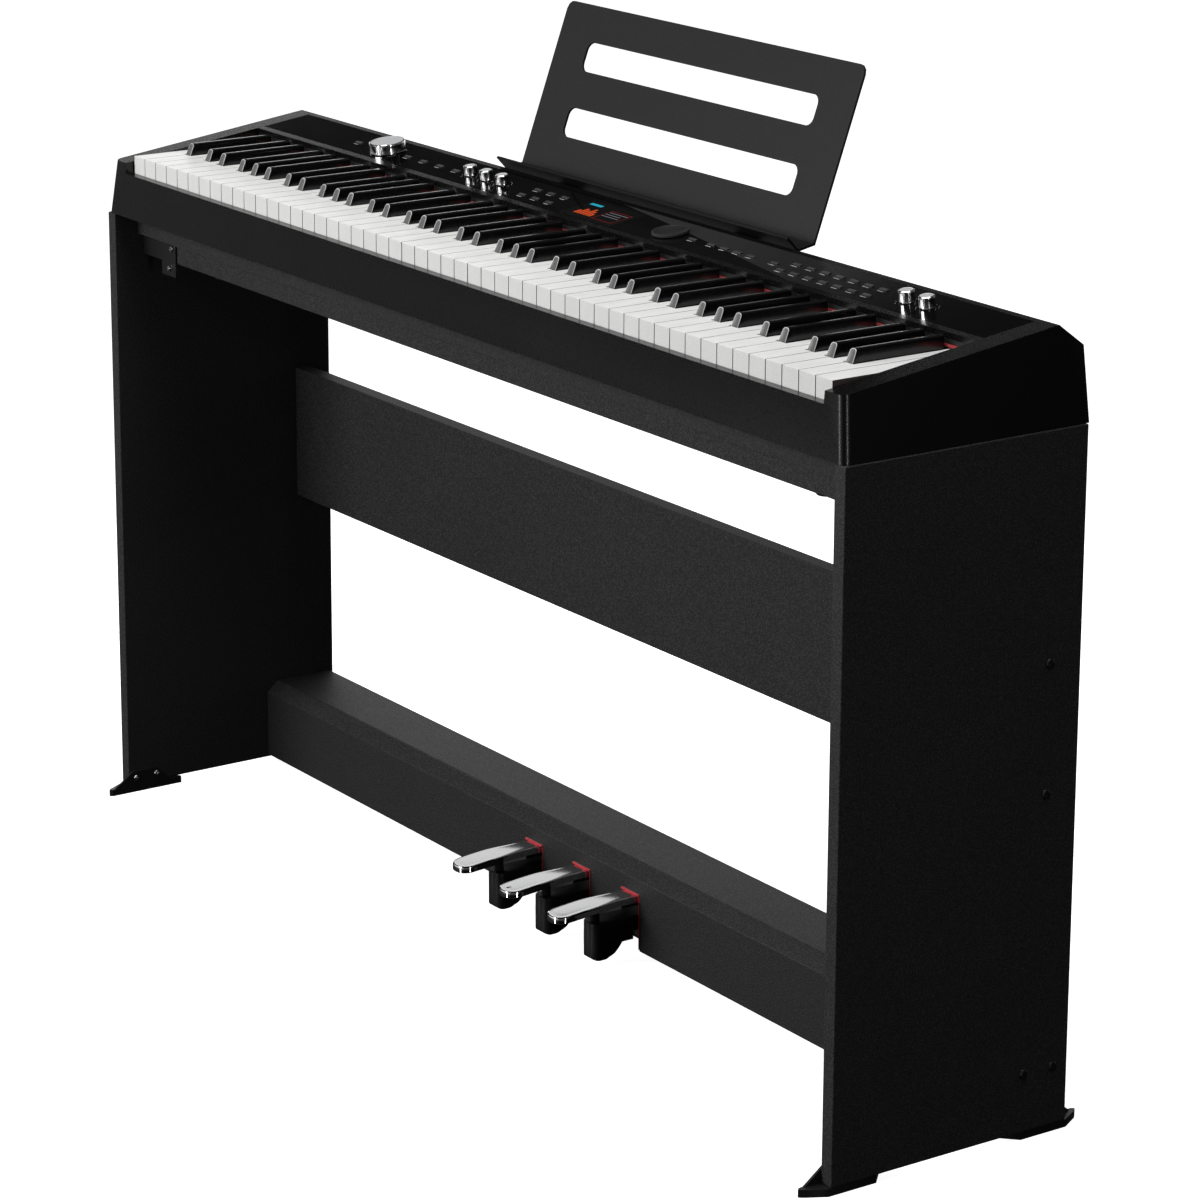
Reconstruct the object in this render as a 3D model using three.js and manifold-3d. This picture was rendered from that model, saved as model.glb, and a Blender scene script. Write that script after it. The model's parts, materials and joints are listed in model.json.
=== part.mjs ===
// A digital stage piano with 88 keys on its matching furniture stand, with three pedals and a music rest.
// Units are millimetres, +Z is up, +X runs from the low notes to the high notes, and the player sits at -Y.
// Heights are above the floor. Depths are measured from the lower front edge of the case, and the finished
// group is then moved so that its origin lies on the floor under the middle of its own outline.
import * as THREE from 'three';
import { ConvexGeometry } from 'three/addons/geometries/ConvexGeometry.js';
import { mergeVertices } from 'three/addons/utils/BufferGeometryUtils.js';
import Module from 'manifold-3d';

const wasm = await Module();
wasm.setup();

// ---------- driving dimensions ----------
const GAP = 0.3;                  // clearance between pieces that touch
const RUN = 0.5;                  // clearance round a piece that moves

// keyboard
const NATURAL_PITCH = 23.5;
const NATURAL_GAP = 1.0;
const NATURALS = 52;
const NATURAL_HEAD = 50;          // length in front of the sharps
const NATURAL_THICK = 13;
const NATURAL_LIP = 22;           // height of the front face
const NATURAL_LIP_DEPTH = 7;
const SHARP_WIDTH = 10.4;
const SHARP_TOP_WIDTH = 8.8;
const SHARP_RISE = 12;            // height of a sharp above the naturals
const SHARP_SLOPE = 5;            // how far its front leans back
const KEY_FRONT = 14;
const KEY_TAIL_END = 222;         // rear end of the naturals
const KEY_HEEL_DEPTH = 16;        // heel under a natural's tail, which rocks on the pivot rail
const KEY_HEEL_DROP = 11;
const SHARP_HEEL_DEPTH = 10;      // heel behind the naturals, under a sharp's tail
const SHARP_HEEL_DROP = 6;
const SHARP_LIFT = 1.5;            // a sharp's underside, above a natural's
const SHARP_TAIL_GAP = 4.3;       // from a natural's end to a sharp's heel
const KEY_REST = 1;               // clearance that lets a heel rock on its rail
const FELT = { thick: 2.5, back: 0.5 };

// case
const BED_Z = 659;                // underside of the case, which is the top of the stand
const KEY_RISE = 65;              // from there up to the naturals
const CHEEK_W = 33.6;             // width of the case beside the keys, at the bottom
const CASE_SIDE_LEAN = 8.5;       // how far each side leans in up to the top
const CASE_DEPTH = 271;
const CASE_FRONT_SLOPE = 4.7;     // how far the front leans back up to the cheeks
const CHEEK_FRONT_RISE = 58;
const CASE_TOP = { back: 32, rise: 89.3 };  // rear edge of the deck, from the case's rear and underside
const CHAMFER = { back: 2.7, rise: 68 };
const CORNER_R = 8;
const CASE_WALL = 3.2;
const SLIP_RISE = 46.5;
const SLIP_FLANGE = 5;
const TRIM_FRONT = 168;
const TRIM_WIDTH = 8;
const TRIM_HEIGHT = 6;
const PANEL_BACK = 7;             // from the panel's rear edge to the end of the deck
const PANEL_THICK = 3;
const LEDGE = 4;                  // how far the panel bears on the case
const KEY_SIDE_GAP = 1.4;

// controls, placed from the middle of the panel
const VOLUME_X = -396;
const VOLUME_R = 19.2;
const VOLUME_H = 11;
const SMALL_KNOB_R = 6.8;
const SMALL_KNOB_H = 10;
const EFFECT_KNOB_X = [-235.5, -206, -176.5];
const TONE_KNOB_X = [476, 504.5];
const TONE_KNOB_R = 7.5;
const DIAL_X = 115.6;
const DIAL_R = 18.4;
const DIAL_H = 3;
const SHAFT_R = 3;
const KNOB_LIFT = 0.6;
const SHAFT_DROP = 10;
const BUTTON = { wide: 11, deep: 3.6, proud: 0.1 };
const BUTTON_TRAVEL = 1;          // a button stands proud by its travel
const BUTTON_ROW = 19.6;          // distance between two rows of buttons
const BUTTON_WEB = 2;             // sheet that joins a group of buttons under the panel
const BUTTON_WEB_DROP = 6;
const DISPLAY = { wide: 88, deep: 44, thick: 0.9, radius: 2 };
const CONTROLS_FORWARD = 3;       // from the panel's middle to the line of the controls

// inside the case
const FLOOR_THICK = 4;
const FRAME = { rise: 8, sheet: 4, foot: 8, inset: 4, guideDrop: 21 };
const BOARD_LIFT = 2;             // the board lies level, this far above the keys' tails
const BOARD_THICK = 1.6;
const BOARD_INSET = 2;            // between the board's edges and the case
const SPEAKER = { x: 330, wide: 130, high: 44, deep: 20, rise: 39 };
const GRILLE_SLOTS = 7;
const GRILLE_SLOT_H = 2.4;
const JACK_PLATE = { x: -470, wide: 150, high: 30, thick: 2.4, rise: 31 };
const JACK = { radius: 5, pitch: 30, count: 3, from: 26 };
const SOCKET = { wide: 13, high: 12, from: 11 };    // square socket, from the plate's right end

// music rest
const REST_W = 495;
const REST_SHEET = 2.4;
const REST_LIP = [2, 8.2];        // front tip of the book ledge, from the rear edge of the deck
const REST_FOLD = [14.3, -5.1];   // bottom fold of the ledge
const REST_FOOT = [33.7, -1.3];   // fold between the ledge and the plate
const REST_LENGTH = 174.6;
const REST_LEAN = 19.8;           // degrees from upright
const REST_CORNER_R = 9;
const REST_SLOT = { wide: 387, high: 30.5, radius: 9 };
const REST_SLOT_MID = [52.8, 121.8];
const REST_TAB = { x: 150, wide: 40, down: 26 };
const POCKET_DROP = 12;           // bottom of the tabs' pockets, below the chamfer

// stand
const STAND_PROUD = 2;            // how far the side panels stand out beyond the case
const BOARD = 15;                 // side panel thickness
const SIDE_FRONT = 0.5;
const SIDE_BACK = 3.5;            // from the panels' rear edge to the case's rear
const SIDE_BOTTOM = 8;
const MODESTY = { back: 26.5, thick: 18, bottom: 311, top: 459 };
const BOX = { depth: 83, back: 4.5, thick: 15, bottom: 11, shoulder: 85.5, top: 97.3, chamfer: 13.5 };
const RAIL_TOP = { front: 28, depth: 72, drop: 25 };
const RAIL = { front: 36, thick: 16, drop: 47.5 };
const BRACKET = { wide: 72, sheet: 2, tab: 30, drop: 15 };   // at the low end only
const THUMB = { x: 528, y: 74, headR: 9, headH: 9, stemR: 3, drop: 62 };

// feet
const FOOT = { reach: 25, length: 65, high: 24, sheet: 2.5, nose: 3, taper: 14, low: 5 };
const FOOT_GUSSET = { from: 4, to: 34, end: 52 };   // its top edge, from the panel's edge

// pedals
const PEDAL_PITCH = 86.5;
const PEDAL = { reach: 97, wide: 30, neck: 24, thick: 7.5, z: 68, pin: 60, pinZ: 60, pinR: 3, barrelR: 7 };
const PEDAL_TOP = [[0, -3.5], [27, -0.5], [67, 1]]; // its top line: [behind the tip, above PEDAL.z]
const PEDAL_BLADE = 41;           // length of the wide part
const PEDAL_NECK = 82;            // where the neck reaches its own width
const PEDAL_SLOT = { side: 3.5, over: 2 };          // clearance beside the neck and over it
const HORN = { wide: 24, reach: 52.5, top: 49, bottom: 9, tail: 14 };
const HORN_NOSE = [[0, 5], [2.5, 1], [11, 0], [22, 5], [31, 13], [38, 21], [46, 24]]; // [behind, above]
const MOUNT = { base: 14, sheet: 3, back: 8, ear: 4, earHalf: 12 };

// ---------- values worked out from them ----------
const KEYS_HALF = NATURALS * NATURAL_PITCH / 2;
const OPENING_HALF = KEYS_HALF + KEY_SIDE_GAP;
const CASE_W_BOTTOM = 2 * (OPENING_HALF + CHEEK_W);
const CASE_W_TOP = CASE_W_BOTTOM - 2 * CASE_SIDE_LEAN;
const STAND_W = CASE_W_BOTTOM + 2 * STAND_PROUD;
const KEY_TOP = BED_Z + KEY_RISE;
const SLIP_TOP = BED_Z + SLIP_RISE;
const CHEEK_FRONT_TOP = BED_Z + CHEEK_FRONT_RISE;
const CASE_TOP_Y = CASE_DEPTH - CASE_TOP.back;
const CASE_TOP_Z = BED_Z + CASE_TOP.rise;
const CHAMFER_Y = CASE_DEPTH - CHAMFER.back;
const CHAMFER_Z = BED_Z + CHAMFER.rise;
const PANEL_REAR = CASE_TOP_Y - PANEL_BACK;
const SPEAKER_Z = BED_Z + SPEAKER.rise;
const JACK_Z = BED_Z + JACK_PLATE.rise;
const SIDE_REAR = CASE_DEPTH - SIDE_BACK;
const MODESTY_REAR = SIDE_REAR - MODESTY.back;
const BOX_REAR = SIDE_REAR - BOX.back;
const BOX_FRONT = BOX_REAR - BOX.depth;
const RAIL_TOP_BOTTOM = BED_Z - RAIL_TOP.drop;
const RAIL_BOTTOM = BED_Z - RAIL.drop;
const THUMB_HEAD = BED_Z - THUMB.drop;
const PEDAL_TIP = BOX_FRONT - PEDAL.reach;
const PEDAL_PIN = BOX_FRONT + PEDAL.pin;
const SLOT_TOP = PEDAL.z + 1 + PEDAL_SLOT.over;
const SLOT_HALF = PEDAL.neck / 2 + PEDAL_SLOT.side;
const HORN_FRONT = BOX_FRONT - HORN.reach;
const MOUNT_REAR = BOX_REAR - MOUNT.back;
const deckSlope = Math.atan2(CASE_TOP_Z - CHEEK_FRONT_TOP, CASE_TOP_Y - CASE_FRONT_SLOPE);
const deckZ = (y) => CHEEK_FRONT_TOP + (y - CASE_FRONT_SLOPE) * Math.tan(deckSlope);
// A point of the side view that lies on the deck at depth y, or above it by rise, square to the deck.
const onDeck = (y, rise) => [y - rise * Math.sin(deckSlope), deckZ(y) + rise * Math.cos(deckSlope)];
const alongDeck = (y) => (y - CASE_FRONT_SLOPE) / Math.cos(deckSlope);
const panelFront = TRIM_FRONT + TRIM_WIDTH + GAP;
const panelMid = alongDeck((panelFront + PANEL_REAR) / 2 - CONTROLS_FORWARD);
const underKeys = KEY_TOP - NATURAL_THICK;
const sharpBottom = underKeys + SHARP_LIFT;
const sharpEnd = KEY_TAIL_END + SHARP_TAIL_GAP + SHARP_HEEL_DEPTH;
const innerSide = STAND_W / 2 - BOARD;
const sideGap = innerSide - GAP;

// ---------- tools ----------
function solidOf(geometry) {
  const bare = geometry.clone();
  bare.deleteAttribute('normal');
  bare.deleteAttribute('uv');
  const welded = mergeVertices(bare, 1e-4);
  const triVerts = new Uint32Array(welded.index.array);
  const vertProperties = new Float32Array(welded.attributes.position.array);
  return new wasm.Manifold(new wasm.Mesh({ numProp: 3, vertProperties, triVerts }));
}

function geometryOf(solid) {
  const mesh = solid.getMesh();
  const geometry = new THREE.BufferGeometry();
  geometry.setAttribute('position', new THREE.BufferAttribute(new Float32Array(mesh.vertProperties), 3));
  geometry.setIndex(new THREE.BufferAttribute(new Uint32Array(mesh.triVerts), 1));
  geometry.computeVertexNormals();
  return geometry;
}

const join = (solids) => solids.reduce((whole, piece) => whole.add(piece));

function block(x0, x1, y0, y1, z0, z1) {
  const geometry = new THREE.BoxGeometry(x1 - x0, y1 - y0, z1 - z0);
  geometry.translate((x0 + x1) / 2, (y0 + y1) / 2, (z0 + z1) / 2);
  return solidOf(geometry);
}

function extruded(shape, depth, curveSegments = 6) {
  return new THREE.ExtrudeGeometry(shape, { depth, bevelEnabled: false, curveSegments });
}

// A side profile of [y, z] points, drawn out from x0 to x1.
function sideProfile(points, x0, x1) {
  const geometry = extruded(new THREE.Shape(points.map(([y, z]) => new THREE.Vector2(y, z))), x1 - x0);
  const turn = new THREE.Matrix4().makeBasis(
    new THREE.Vector3(0, 1, 0), new THREE.Vector3(0, 0, 1), new THREE.Vector3(1, 0, 0));
  geometry.applyMatrix4(turn.setPosition(x0, 0, 0));
  return solidOf(geometry);
}

// A plan outline, drawn up from z0 to z1.
function plan(shape, z0, z1, curveSegments) {
  const geometry = extruded(shape, z1 - z0, curveSegments);
  geometry.translate(0, 0, z0);
  return solidOf(geometry);
}

const outline = (points) => new THREE.Shape(points.map(([x, y]) => new THREE.Vector2(x, y)));

function roundedRectangle(wide, high, radius, x = 0, y = 0) {
  const shape = new THREE.Shape();
  const w = wide / 2 - radius;
  const h = high / 2 - radius;
  shape.absarc(x + w, y - h, radius, -Math.PI / 2, 0);
  shape.absarc(x + w, y + h, radius, 0, Math.PI / 2);
  shape.absarc(x - w, y + h, radius, Math.PI / 2, Math.PI);
  shape.absarc(x - w, y - h, radius, Math.PI, 1.5 * Math.PI);
  return shape;
}

function upright(radius, z0, z1, x = 0, y = 0, sides = 24) {
  const geometry = new THREE.CylinderGeometry(radius, radius, z1 - z0, sides);
  geometry.rotateX(Math.PI / 2);
  geometry.translate(x, y, (z0 + z1) / 2);
  return solidOf(geometry);
}

function crosswise(radius, x0, x1, y, z, sides = 20) {
  const geometry = new THREE.CylinderGeometry(radius, radius, x1 - x0, sides);
  geometry.rotateZ(Math.PI / 2);
  geometry.translate((x0 + x1) / 2, y, z);
  return solidOf(geometry);
}

function hull(points) {
  return solidOf(new ConvexGeometry(points.map(([x, y, z]) => new THREE.Vector3(x, y, z))));
}

// The outline of a bent sheet that follows a line of [y, z] points, with mitred folds.
function bentSheet(points, thickness) {
  const line = points.map(([y, z]) => new THREE.Vector2(y, z));
  const normals = line.slice(1).map((point, i) => {
    const along = point.clone().sub(line[i]).normalize();
    return new THREE.Vector2(-along.y, along.x);
  });
  const side = (sign) => line.map((point, i) => {
    const before = normals[Math.max(i - 1, 0)];
    const after = normals[Math.min(i, normals.length - 1)];
    const mitre = before.clone().add(after).normalize();
    return point.clone().addScaledVector(mitre, sign * thickness / 2 / mitre.dot(after));
  });
  return [...side(1), ...side(-1).reverse()].map((p) => [p.x, p.y]);
}

const FINISH = {
  laminate: { color: 0x1c1c1d, roughness: 0.75, metalness: 0 },
  plastic: { color: 0x18181a, roughness: 0.55, metalness: 0 },
  gloss: { color: 0x050505, roughness: 0.08, metalness: 0 },
  natural: { color: 0xf2f1ec, roughness: 0.35, metalness: 0 },
  sharp: { color: 0x0d0d0e, roughness: 0.4, metalness: 0 },
  steel: { color: 0x121213, roughness: 0.45, metalness: 0.6 },
  chrome: { color: 0xc8c8cc, roughness: 0.15, metalness: 1 },
  board: { color: 0x1d4a2c, roughness: 0.6, metalness: 0 },
  cone: { color: 0x202020, roughness: 0.9, metalness: 0 },
  felt: { color: 0x7c1216, roughness: 0.95, metalness: 0 },
};

const piano = new THREE.Group();
const deck = new THREE.Group();           // the sloping top of the case, with its own axes
deck.position.set(0, CASE_FRONT_SLOPE, CHEEK_FRONT_TOP);
deck.rotation.x = deckSlope;
piano.add(deck);

function place(name, solid, finish, parent = piano) {
  const mesh = new THREE.Mesh(geometryOf(solid), new THREE.MeshStandardMaterial(FINISH[finish]));
  mesh.name = name;
  parent.add(mesh);
  return mesh;
}

// ---------- stand ----------
function sidePanel(side) {
  const inner = side * innerSide;
  const outer = side * STAND_W / 2;
  const [low, high] = [Math.min(inner, outer), Math.max(inner, outer)];
  return block(low, high, SIDE_FRONT, SIDE_REAR, SIDE_BOTTOM, BED_Z - GAP);
}

function modestyBoard() {
  const { thick, bottom, top } = MODESTY;
  return block(-sideGap, sideGap, MODESTY_REAR - thick, MODESTY_REAR, bottom, top);
}

const pedalX = [-1, 0, 1].map((i) => i * PEDAL_PITCH);

function pedalBoxFront() {
  const { thick, bottom, shoulder, top, chamfer } = BOX;
  const front = BOX_FRONT;
  const back = front + thick;
  const profile = [[front, bottom], [back, bottom], [back, top], [front + chamfer, top], [front, shoulder]];
  let board = sideProfile(profile, -sideGap, sideGap);
  for (const x of pedalX) {
    board = board.subtract(block(x - SLOT_HALF, x + SLOT_HALF, front - 1, back + 1, bottom - 1, SLOT_TOP));
  }
  return board;
}

function pedalBoxTop() {
  const { thick, top } = BOX;
  return block(-sideGap, sideGap, BOX_FRONT + thick + GAP, BOX_REAR, top - thick, top);
}

function railTopBoard() {
  const { front, depth } = RAIL_TOP;
  let board = block(-sideGap, sideGap, front, front + depth, RAIL_TOP_BOTTOM, BED_Z - GAP);
  for (const x of [-THUMB.x, THUMB.x]) {
    board = board.subtract(upright(THUMB.stemR + RUN, RAIL_TOP_BOTTOM - 1, BED_Z, x, THUMB.y));
  }
  return board;
}

function frontRail() {
  return block(-sideGap, sideGap, RAIL.front, RAIL.front + RAIL.thick, RAIL_BOTTOM, RAIL_TOP_BOTTOM - GAP);
}

// The plate under the low end of the keyboard, with a tab that hangs below the rail.
function railBracket() {
  const { wide, sheet, tab, drop } = BRACKET;
  const rear = RAIL.front - GAP;
  const inner = wide - sideGap;
  const plate = block(-sideGap, inner, rear - sheet, rear, RAIL_BOTTOM, RAIL_TOP_BOTTOM - GAP);
  return plate.add(block(inner - tab, inner, rear - sheet, rear, RAIL_BOTTOM - drop, RAIL_BOTTOM + 1));
}

function thumbScrew(x) {
  const head = upright(THUMB.headR, THUMB_HEAD, THUMB_HEAD + THUMB.headH, x, THUMB.y, 16);
  const seat = THUMB_HEAD + THUMB.headH - 1;
  const collar = upright(THUMB.headR - 2, seat, RAIL_TOP_BOTTOM - GAP, x, THUMB.y, 16);
  const stem = upright(THUMB.stemR, THUMB_HEAD, BED_Z - GAP, x, THUMB.y, 16);
  return join([head, collar, stem]);
}

// A pressed steel foot: a flat runner under the end of a side panel, with an upright web on its inner face.
function foot(side, end) {
  const { reach, length, high, sheet, nose, taper, low } = FOOT;
  const edge = end < 0 ? SIDE_FRONT : SIDE_REAR;
  const y = (back) => edge - end * back;             // back is measured from the panel's edge, under it
  const web = side * (innerSide - GAP);
  const webIn = web - side * sheet;
  const outer = side * (STAND_W / 2 - 1);
  const points = [[webIn, y(nose - reach)], [web, y(-reach)], [web + side * nose, y(nose - reach)],
    [outer, y(1 - nose)], [outer, y(length - taper)], [web, y(length)], [webIn, y(length)]];
  const runner = plan(outline(points), 0, SIDE_BOTTOM - GAP);
  const { from, to, end: gussetEnd } = FOOT_GUSSET;
  const profile = [[y(nose - reach), 1], [y(nose - reach), low], [y(from), high], [y(to), high],
    [y(gussetEnd), SIDE_BOTTOM], [y(length), low], [y(length), 1]];
  return runner.add(sideProfile(profile, Math.min(web, webIn), Math.max(web, webIn)));
}

// ---------- pedals ----------
// Plan and side view of a pedal, crossed. A barrel with a pin on each side turns in the mount's ears.
function pedal(x) {
  const { reach, wide, neck, thick, z, pinZ, pinR, barrelR } = PEDAL;
  const tip = PEDAL_TIP;
  const pin = PEDAL_PIN;
  const over = [...PEDAL_TOP, [reach, 0.5]].map(([back, rise]) => [tip + back, z + rise]);
  const under = over.map(([y, top]) => [y, top - thick]).reverse();
  const side = [...over, [pin, pinZ + barrelR - 1], [pin, pinZ - barrelR + 1], ...under];
  const half = wide / 2;
  const nose = half * 0.8;
  const shape = new THREE.Shape();
  shape.moveTo(x - neck / 2, pin);
  shape.lineTo(x - neck / 2, tip + PEDAL_NECK);
  shape.lineTo(x - half, tip + PEDAL_BLADE);
  shape.lineTo(x - half, tip + half);
  shape.absellipse(x, tip + nose, half, nose, Math.PI, 2 * Math.PI);
  shape.lineTo(x + half, tip + PEDAL_BLADE);
  shape.lineTo(x + neck / 2, tip + PEDAL_NECK);
  shape.lineTo(x + neck / 2, pin);
  const body = sideProfile(side, x - wide, x + wide).intersect(plan(shape, 0, z * 2, 12));
  const earOuter = neck / 2 + RUN + MOUNT.ear;
  return join([body, crosswise(barrelR, x - neck / 2, x + neck / 2, pin, pinZ),
    crosswise(pinR, x - earOuter, x + earOuter, pin, pinZ)]);
}

// The horn under a pedal, which passes through the slot and stands on the mount.
function pedalSupport(x) {
  const { wide, top, bottom, tail } = HORN;
  const front = HORN_FRONT;
  const floor = MOUNT.base + MOUNT.sheet + GAP;
  const back = BOX_FRONT + BOX.thick;
  const nose = HORN_NOSE.map(([behind, above]) => [front + behind, bottom + above]);
  const step = bottom + HORN_NOSE.at(-1)[1];
  const profile = [...nose, [back + CASE_WALL, step], [back + CASE_WALL, floor], [back + tail, floor],
    [back + tail, top], [front + tail, top + 2], [front, top]];
  return sideProfile(profile, x - wide / 2, x + wide / 2);
}

// The steel carrier behind the pedal board: a base strip, an end plate at each side and two ears a pedal.
function pedalMount() {
  const { base, sheet, ear, earHalf } = MOUNT;
  const front = BOX_FRONT + BOX.thick + GAP;
  const reach = PEDAL_PITCH + PEDAL.wide;
  const pieces = [block(-reach, reach, front, MOUNT_REAR, base, base + sheet)];
  for (const side of [-1, 1]) {
    const ends = [side * reach, side * (reach - sheet)];
    const top = BOX.top - BOX.thick - GAP;
    pieces.push(block(Math.min(...ends), Math.max(...ends), front, MOUNT_REAR, base, top));
  }
  const holes = [];
  for (const x of pedalX) {
    const near = PEDAL.neck / 2 + RUN;
    for (const side of [-1, 1]) {
      const faces = [x + side * near, x + side * (near + ear)];
      pieces.push(block(Math.min(...faces), Math.max(...faces), PEDAL_PIN - earHalf, PEDAL_PIN + earHalf,
        base + 1, PEDAL.pinZ + earHalf));
    }
    const through = near + ear + 1;
    holes.push(crosswise(PEDAL.pinR + RUN, x - through, x + through, PEDAL_PIN, PEDAL.pinZ));
  }
  return join(pieces).subtract(join(holes));
}

// ---------- case ----------
// One cheek block is the outer form of the case, cut off beside the keys and hollowed from below.
function caseForm() {
  const points = [];
  const ring = (half, front, rear, z) => {
    for (const side of [-1, 1]) {
      for (let i = 0; i <= 4; i += 1) {
        const angle = i / 4 * Math.PI / 2;
        points.push([side * (half - CORNER_R * (1 - Math.sin(angle))),
          front + CORNER_R * (1 - Math.cos(angle)), z]);
      }
      points.push([side * half, rear - 2, z], [side * (half - 2), rear, z]);
    }
  };
  ring(CASE_W_BOTTOM / 2, 0, CASE_DEPTH, BED_Z);
  for (const side of [-1, 1]) {
    const half = side * CASE_W_TOP / 2;
    for (let i = 0; i <= 4; i += 1) {
      const angle = i / 4 * Math.PI / 2;
      const y = CASE_FRONT_SLOPE + CORNER_R * (1 - Math.cos(angle));
      points.push([half - side * CORNER_R * (1 - Math.sin(angle)), y, deckZ(y)]);
    }
    points.push([half, CASE_TOP_Y, CASE_TOP_Z]);
    points.push([half - side * 1, CHAMFER_Y, CHAMFER_Z]);
  }
  return hull(points);
}

function cheekHollow(side) {
  const inner = side * (OPENING_HALF + CASE_WALL);
  const low = side * (CASE_W_BOTTOM / 2 - CASE_WALL);
  const high = side * (CASE_W_TOP / 2 - CASE_WALL - 1);
  const front = CASE_FRONT_SLOPE + CORNER_R;
  const rear = CHAMFER_Y - CASE_WALL - 2;
  const points = [];
  for (const x of [inner, low]) {
    points.push([x, front, BED_Z - 1], [x, rear, BED_Z - 1]);
  }
  for (const x of [inner, high]) {
    points.push([x, front, deckZ(front) - CASE_WALL]);
    points.push([x, CASE_TOP_Y - 2, CASE_TOP_Z - CASE_WALL - 2], [x, rear, CHAMFER_Z - CASE_WALL - 1]);
  }
  return hull(points);
}

function slipProfile() {
  const lean = CASE_FRONT_SLOPE * (SLIP_TOP - BED_Z) / (CHEEK_FRONT_TOP - BED_Z);
  return [[0, BED_Z], [lean, SLIP_TOP], [KEY_FRONT - 1, SLIP_TOP], [KEY_FRONT - 1, SLIP_TOP - SLIP_FLANGE],
    [lean + CASE_WALL, SLIP_TOP - SLIP_FLANGE], [CASE_WALL, BED_Z]];
}

function trimProfile() {
  const rear = TRIM_FRONT + TRIM_WIDTH;
  const seat = -PANEL_THICK - GAP;
  return [onDeck(TRIM_FRONT, 0), onDeck(rear, 0), onDeck(rear, seat), onDeck(rear + LEDGE, seat),
    onDeck(rear + LEDGE, -TRIM_HEIGHT), onDeck(TRIM_FRONT, -TRIM_HEIGHT)];
}

function rearProfile() {
  const edge = PANEL_REAR + GAP;
  const seat = -PANEL_THICK - GAP;
  const lip = edge - LEDGE;
  return [onDeck(edge, 0), [CASE_TOP_Y, CASE_TOP_Z], [CHAMFER_Y, CHAMFER_Z], [CASE_DEPTH, BED_Z],
    [CASE_DEPTH - CASE_WALL, BED_Z], [CHAMFER_Y - CASE_WALL, CHAMFER_Z - 2],
    onDeck(CASE_TOP_Y - 1, -TRIM_HEIGHT), onDeck(lip, -TRIM_HEIGHT), onDeck(lip, seat), onDeck(edge, seat)];
}

function grille(x) {
  const slots = [];
  for (let i = 0; i < GRILLE_SLOTS; i += 1) {
    const z = SPEAKER_Z + (i - (GRILLE_SLOTS - 1) / 2) * GRILLE_SLOT_H * 2;
    slots.push(block(x - SPEAKER.wide / 2 + 12, x + SPEAKER.wide / 2 - 12, CHAMFER_Y - 8, CASE_DEPTH + 1,
      z - GRILLE_SLOT_H / 2, z + GRILLE_SLOT_H / 2));
  }
  return join(slots);
}

const fromDeckEdge = ([y, z]) => [CASE_TOP_Y + y, CASE_TOP_Z + z];
const restFold = fromDeckEdge(REST_FOLD);
const restFoot = fromDeckEdge(REST_FOOT);
const restTabY = (restFold[0] + restFoot[0]) / 2;

function upperCase() {
  const over = OPENING_HALF + 1;
  const middle = block(-OPENING_HALF, OPENING_HALF, -1, CASE_DEPTH + 1, BED_Z - 1, CASE_TOP_Z + 1);
  const cheeks = caseForm().subtract(join([middle, cheekHollow(-1), cheekHollow(1)]));
  let ring = join([cheeks, sideProfile(slipProfile(), -over, over), sideProfile(trimProfile(), -over, over),
    sideProfile(rearProfile(), -over, over)]);
  ring = ring.subtract(join([grille(-SPEAKER.x), grille(SPEAKER.x)]));
  for (const x of [-REST_TAB.x, REST_TAB.x]) {
    const half = REST_TAB.wide / 2 + RUN;
    const deep = REST_SHEET / 2 + RUN;
    ring = ring.subtract(
      block(x - half, x + half, restTabY - deep, restTabY + deep, CHAMFER_Z - POCKET_DROP, CASE_TOP_Z));
  }
  const { x, wide, high } = JACK_PLATE;
  const z = JACK_Z;
  const hole = block(x - wide / 2 - GAP, x + wide / 2 + GAP, CASE_TOP_Y, CASE_DEPTH + 1,
    z - high / 2 - GAP, z + high / 2 + GAP);
  return ring.subtract(hole);
}

function bottomCase() {
  const half = OPENING_HALF - GAP;
  const front = CASE_WALL + 1;
  const rear = CHAMFER_Y - CASE_WALL;
  let floor = block(-half, half, front, rear, BED_Z, BED_Z + FLOOR_THICK);
  for (const x of [-THUMB.x, THUMB.x]) {
    floor = floor.subtract(upright(THUMB.stemR + RUN, BED_Z - 1, BED_Z + FLOOR_THICK + 1, x, THUMB.y));
  }
  return floor;
}

// The felt strip hangs under the trim, behind the sharps' caps, and stays clear of the keys.
function keyFelt() {
  const half = OPENING_HALF - GAP;
  const front = TRIM_FRONT + FELT.back;
  const underTrim = onDeck(TRIM_FRONT, -TRIM_HEIGHT)[1] - GAP;
  return block(-half, half, front, front + FELT.thick, KEY_TOP + KEY_REST, underTrim);
}

// The jack plate closes the cut in the rear wall, with a row of round jacks and a square socket.
function jackPlate() {
  const { x, wide, high, thick } = JACK_PLATE;
  const z = JACK_Z;
  const front = CHAMFER_Y - thick;
  const plate = block(x - wide / 2, x + wide / 2, front, CHAMFER_Y, z - high / 2, z + high / 2);
  const cut = [];
  for (let i = 0; i < JACK.count; i += 1) {
    const hole = new THREE.CylinderGeometry(JACK.radius, JACK.radius, thick * 4, 12);
    hole.translate(x - wide / 2 + JACK.from + i * JACK.pitch, front, z);
    cut.push(solidOf(hole));
  }
  const end = x + wide / 2 - SOCKET.from;
  cut.push(block(end - SOCKET.wide, end, front - 1, CHAMFER_Y + 1, z - SOCKET.high / 2, z + SOCKET.high / 2));
  return plate.subtract(join(cut));
}

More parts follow.
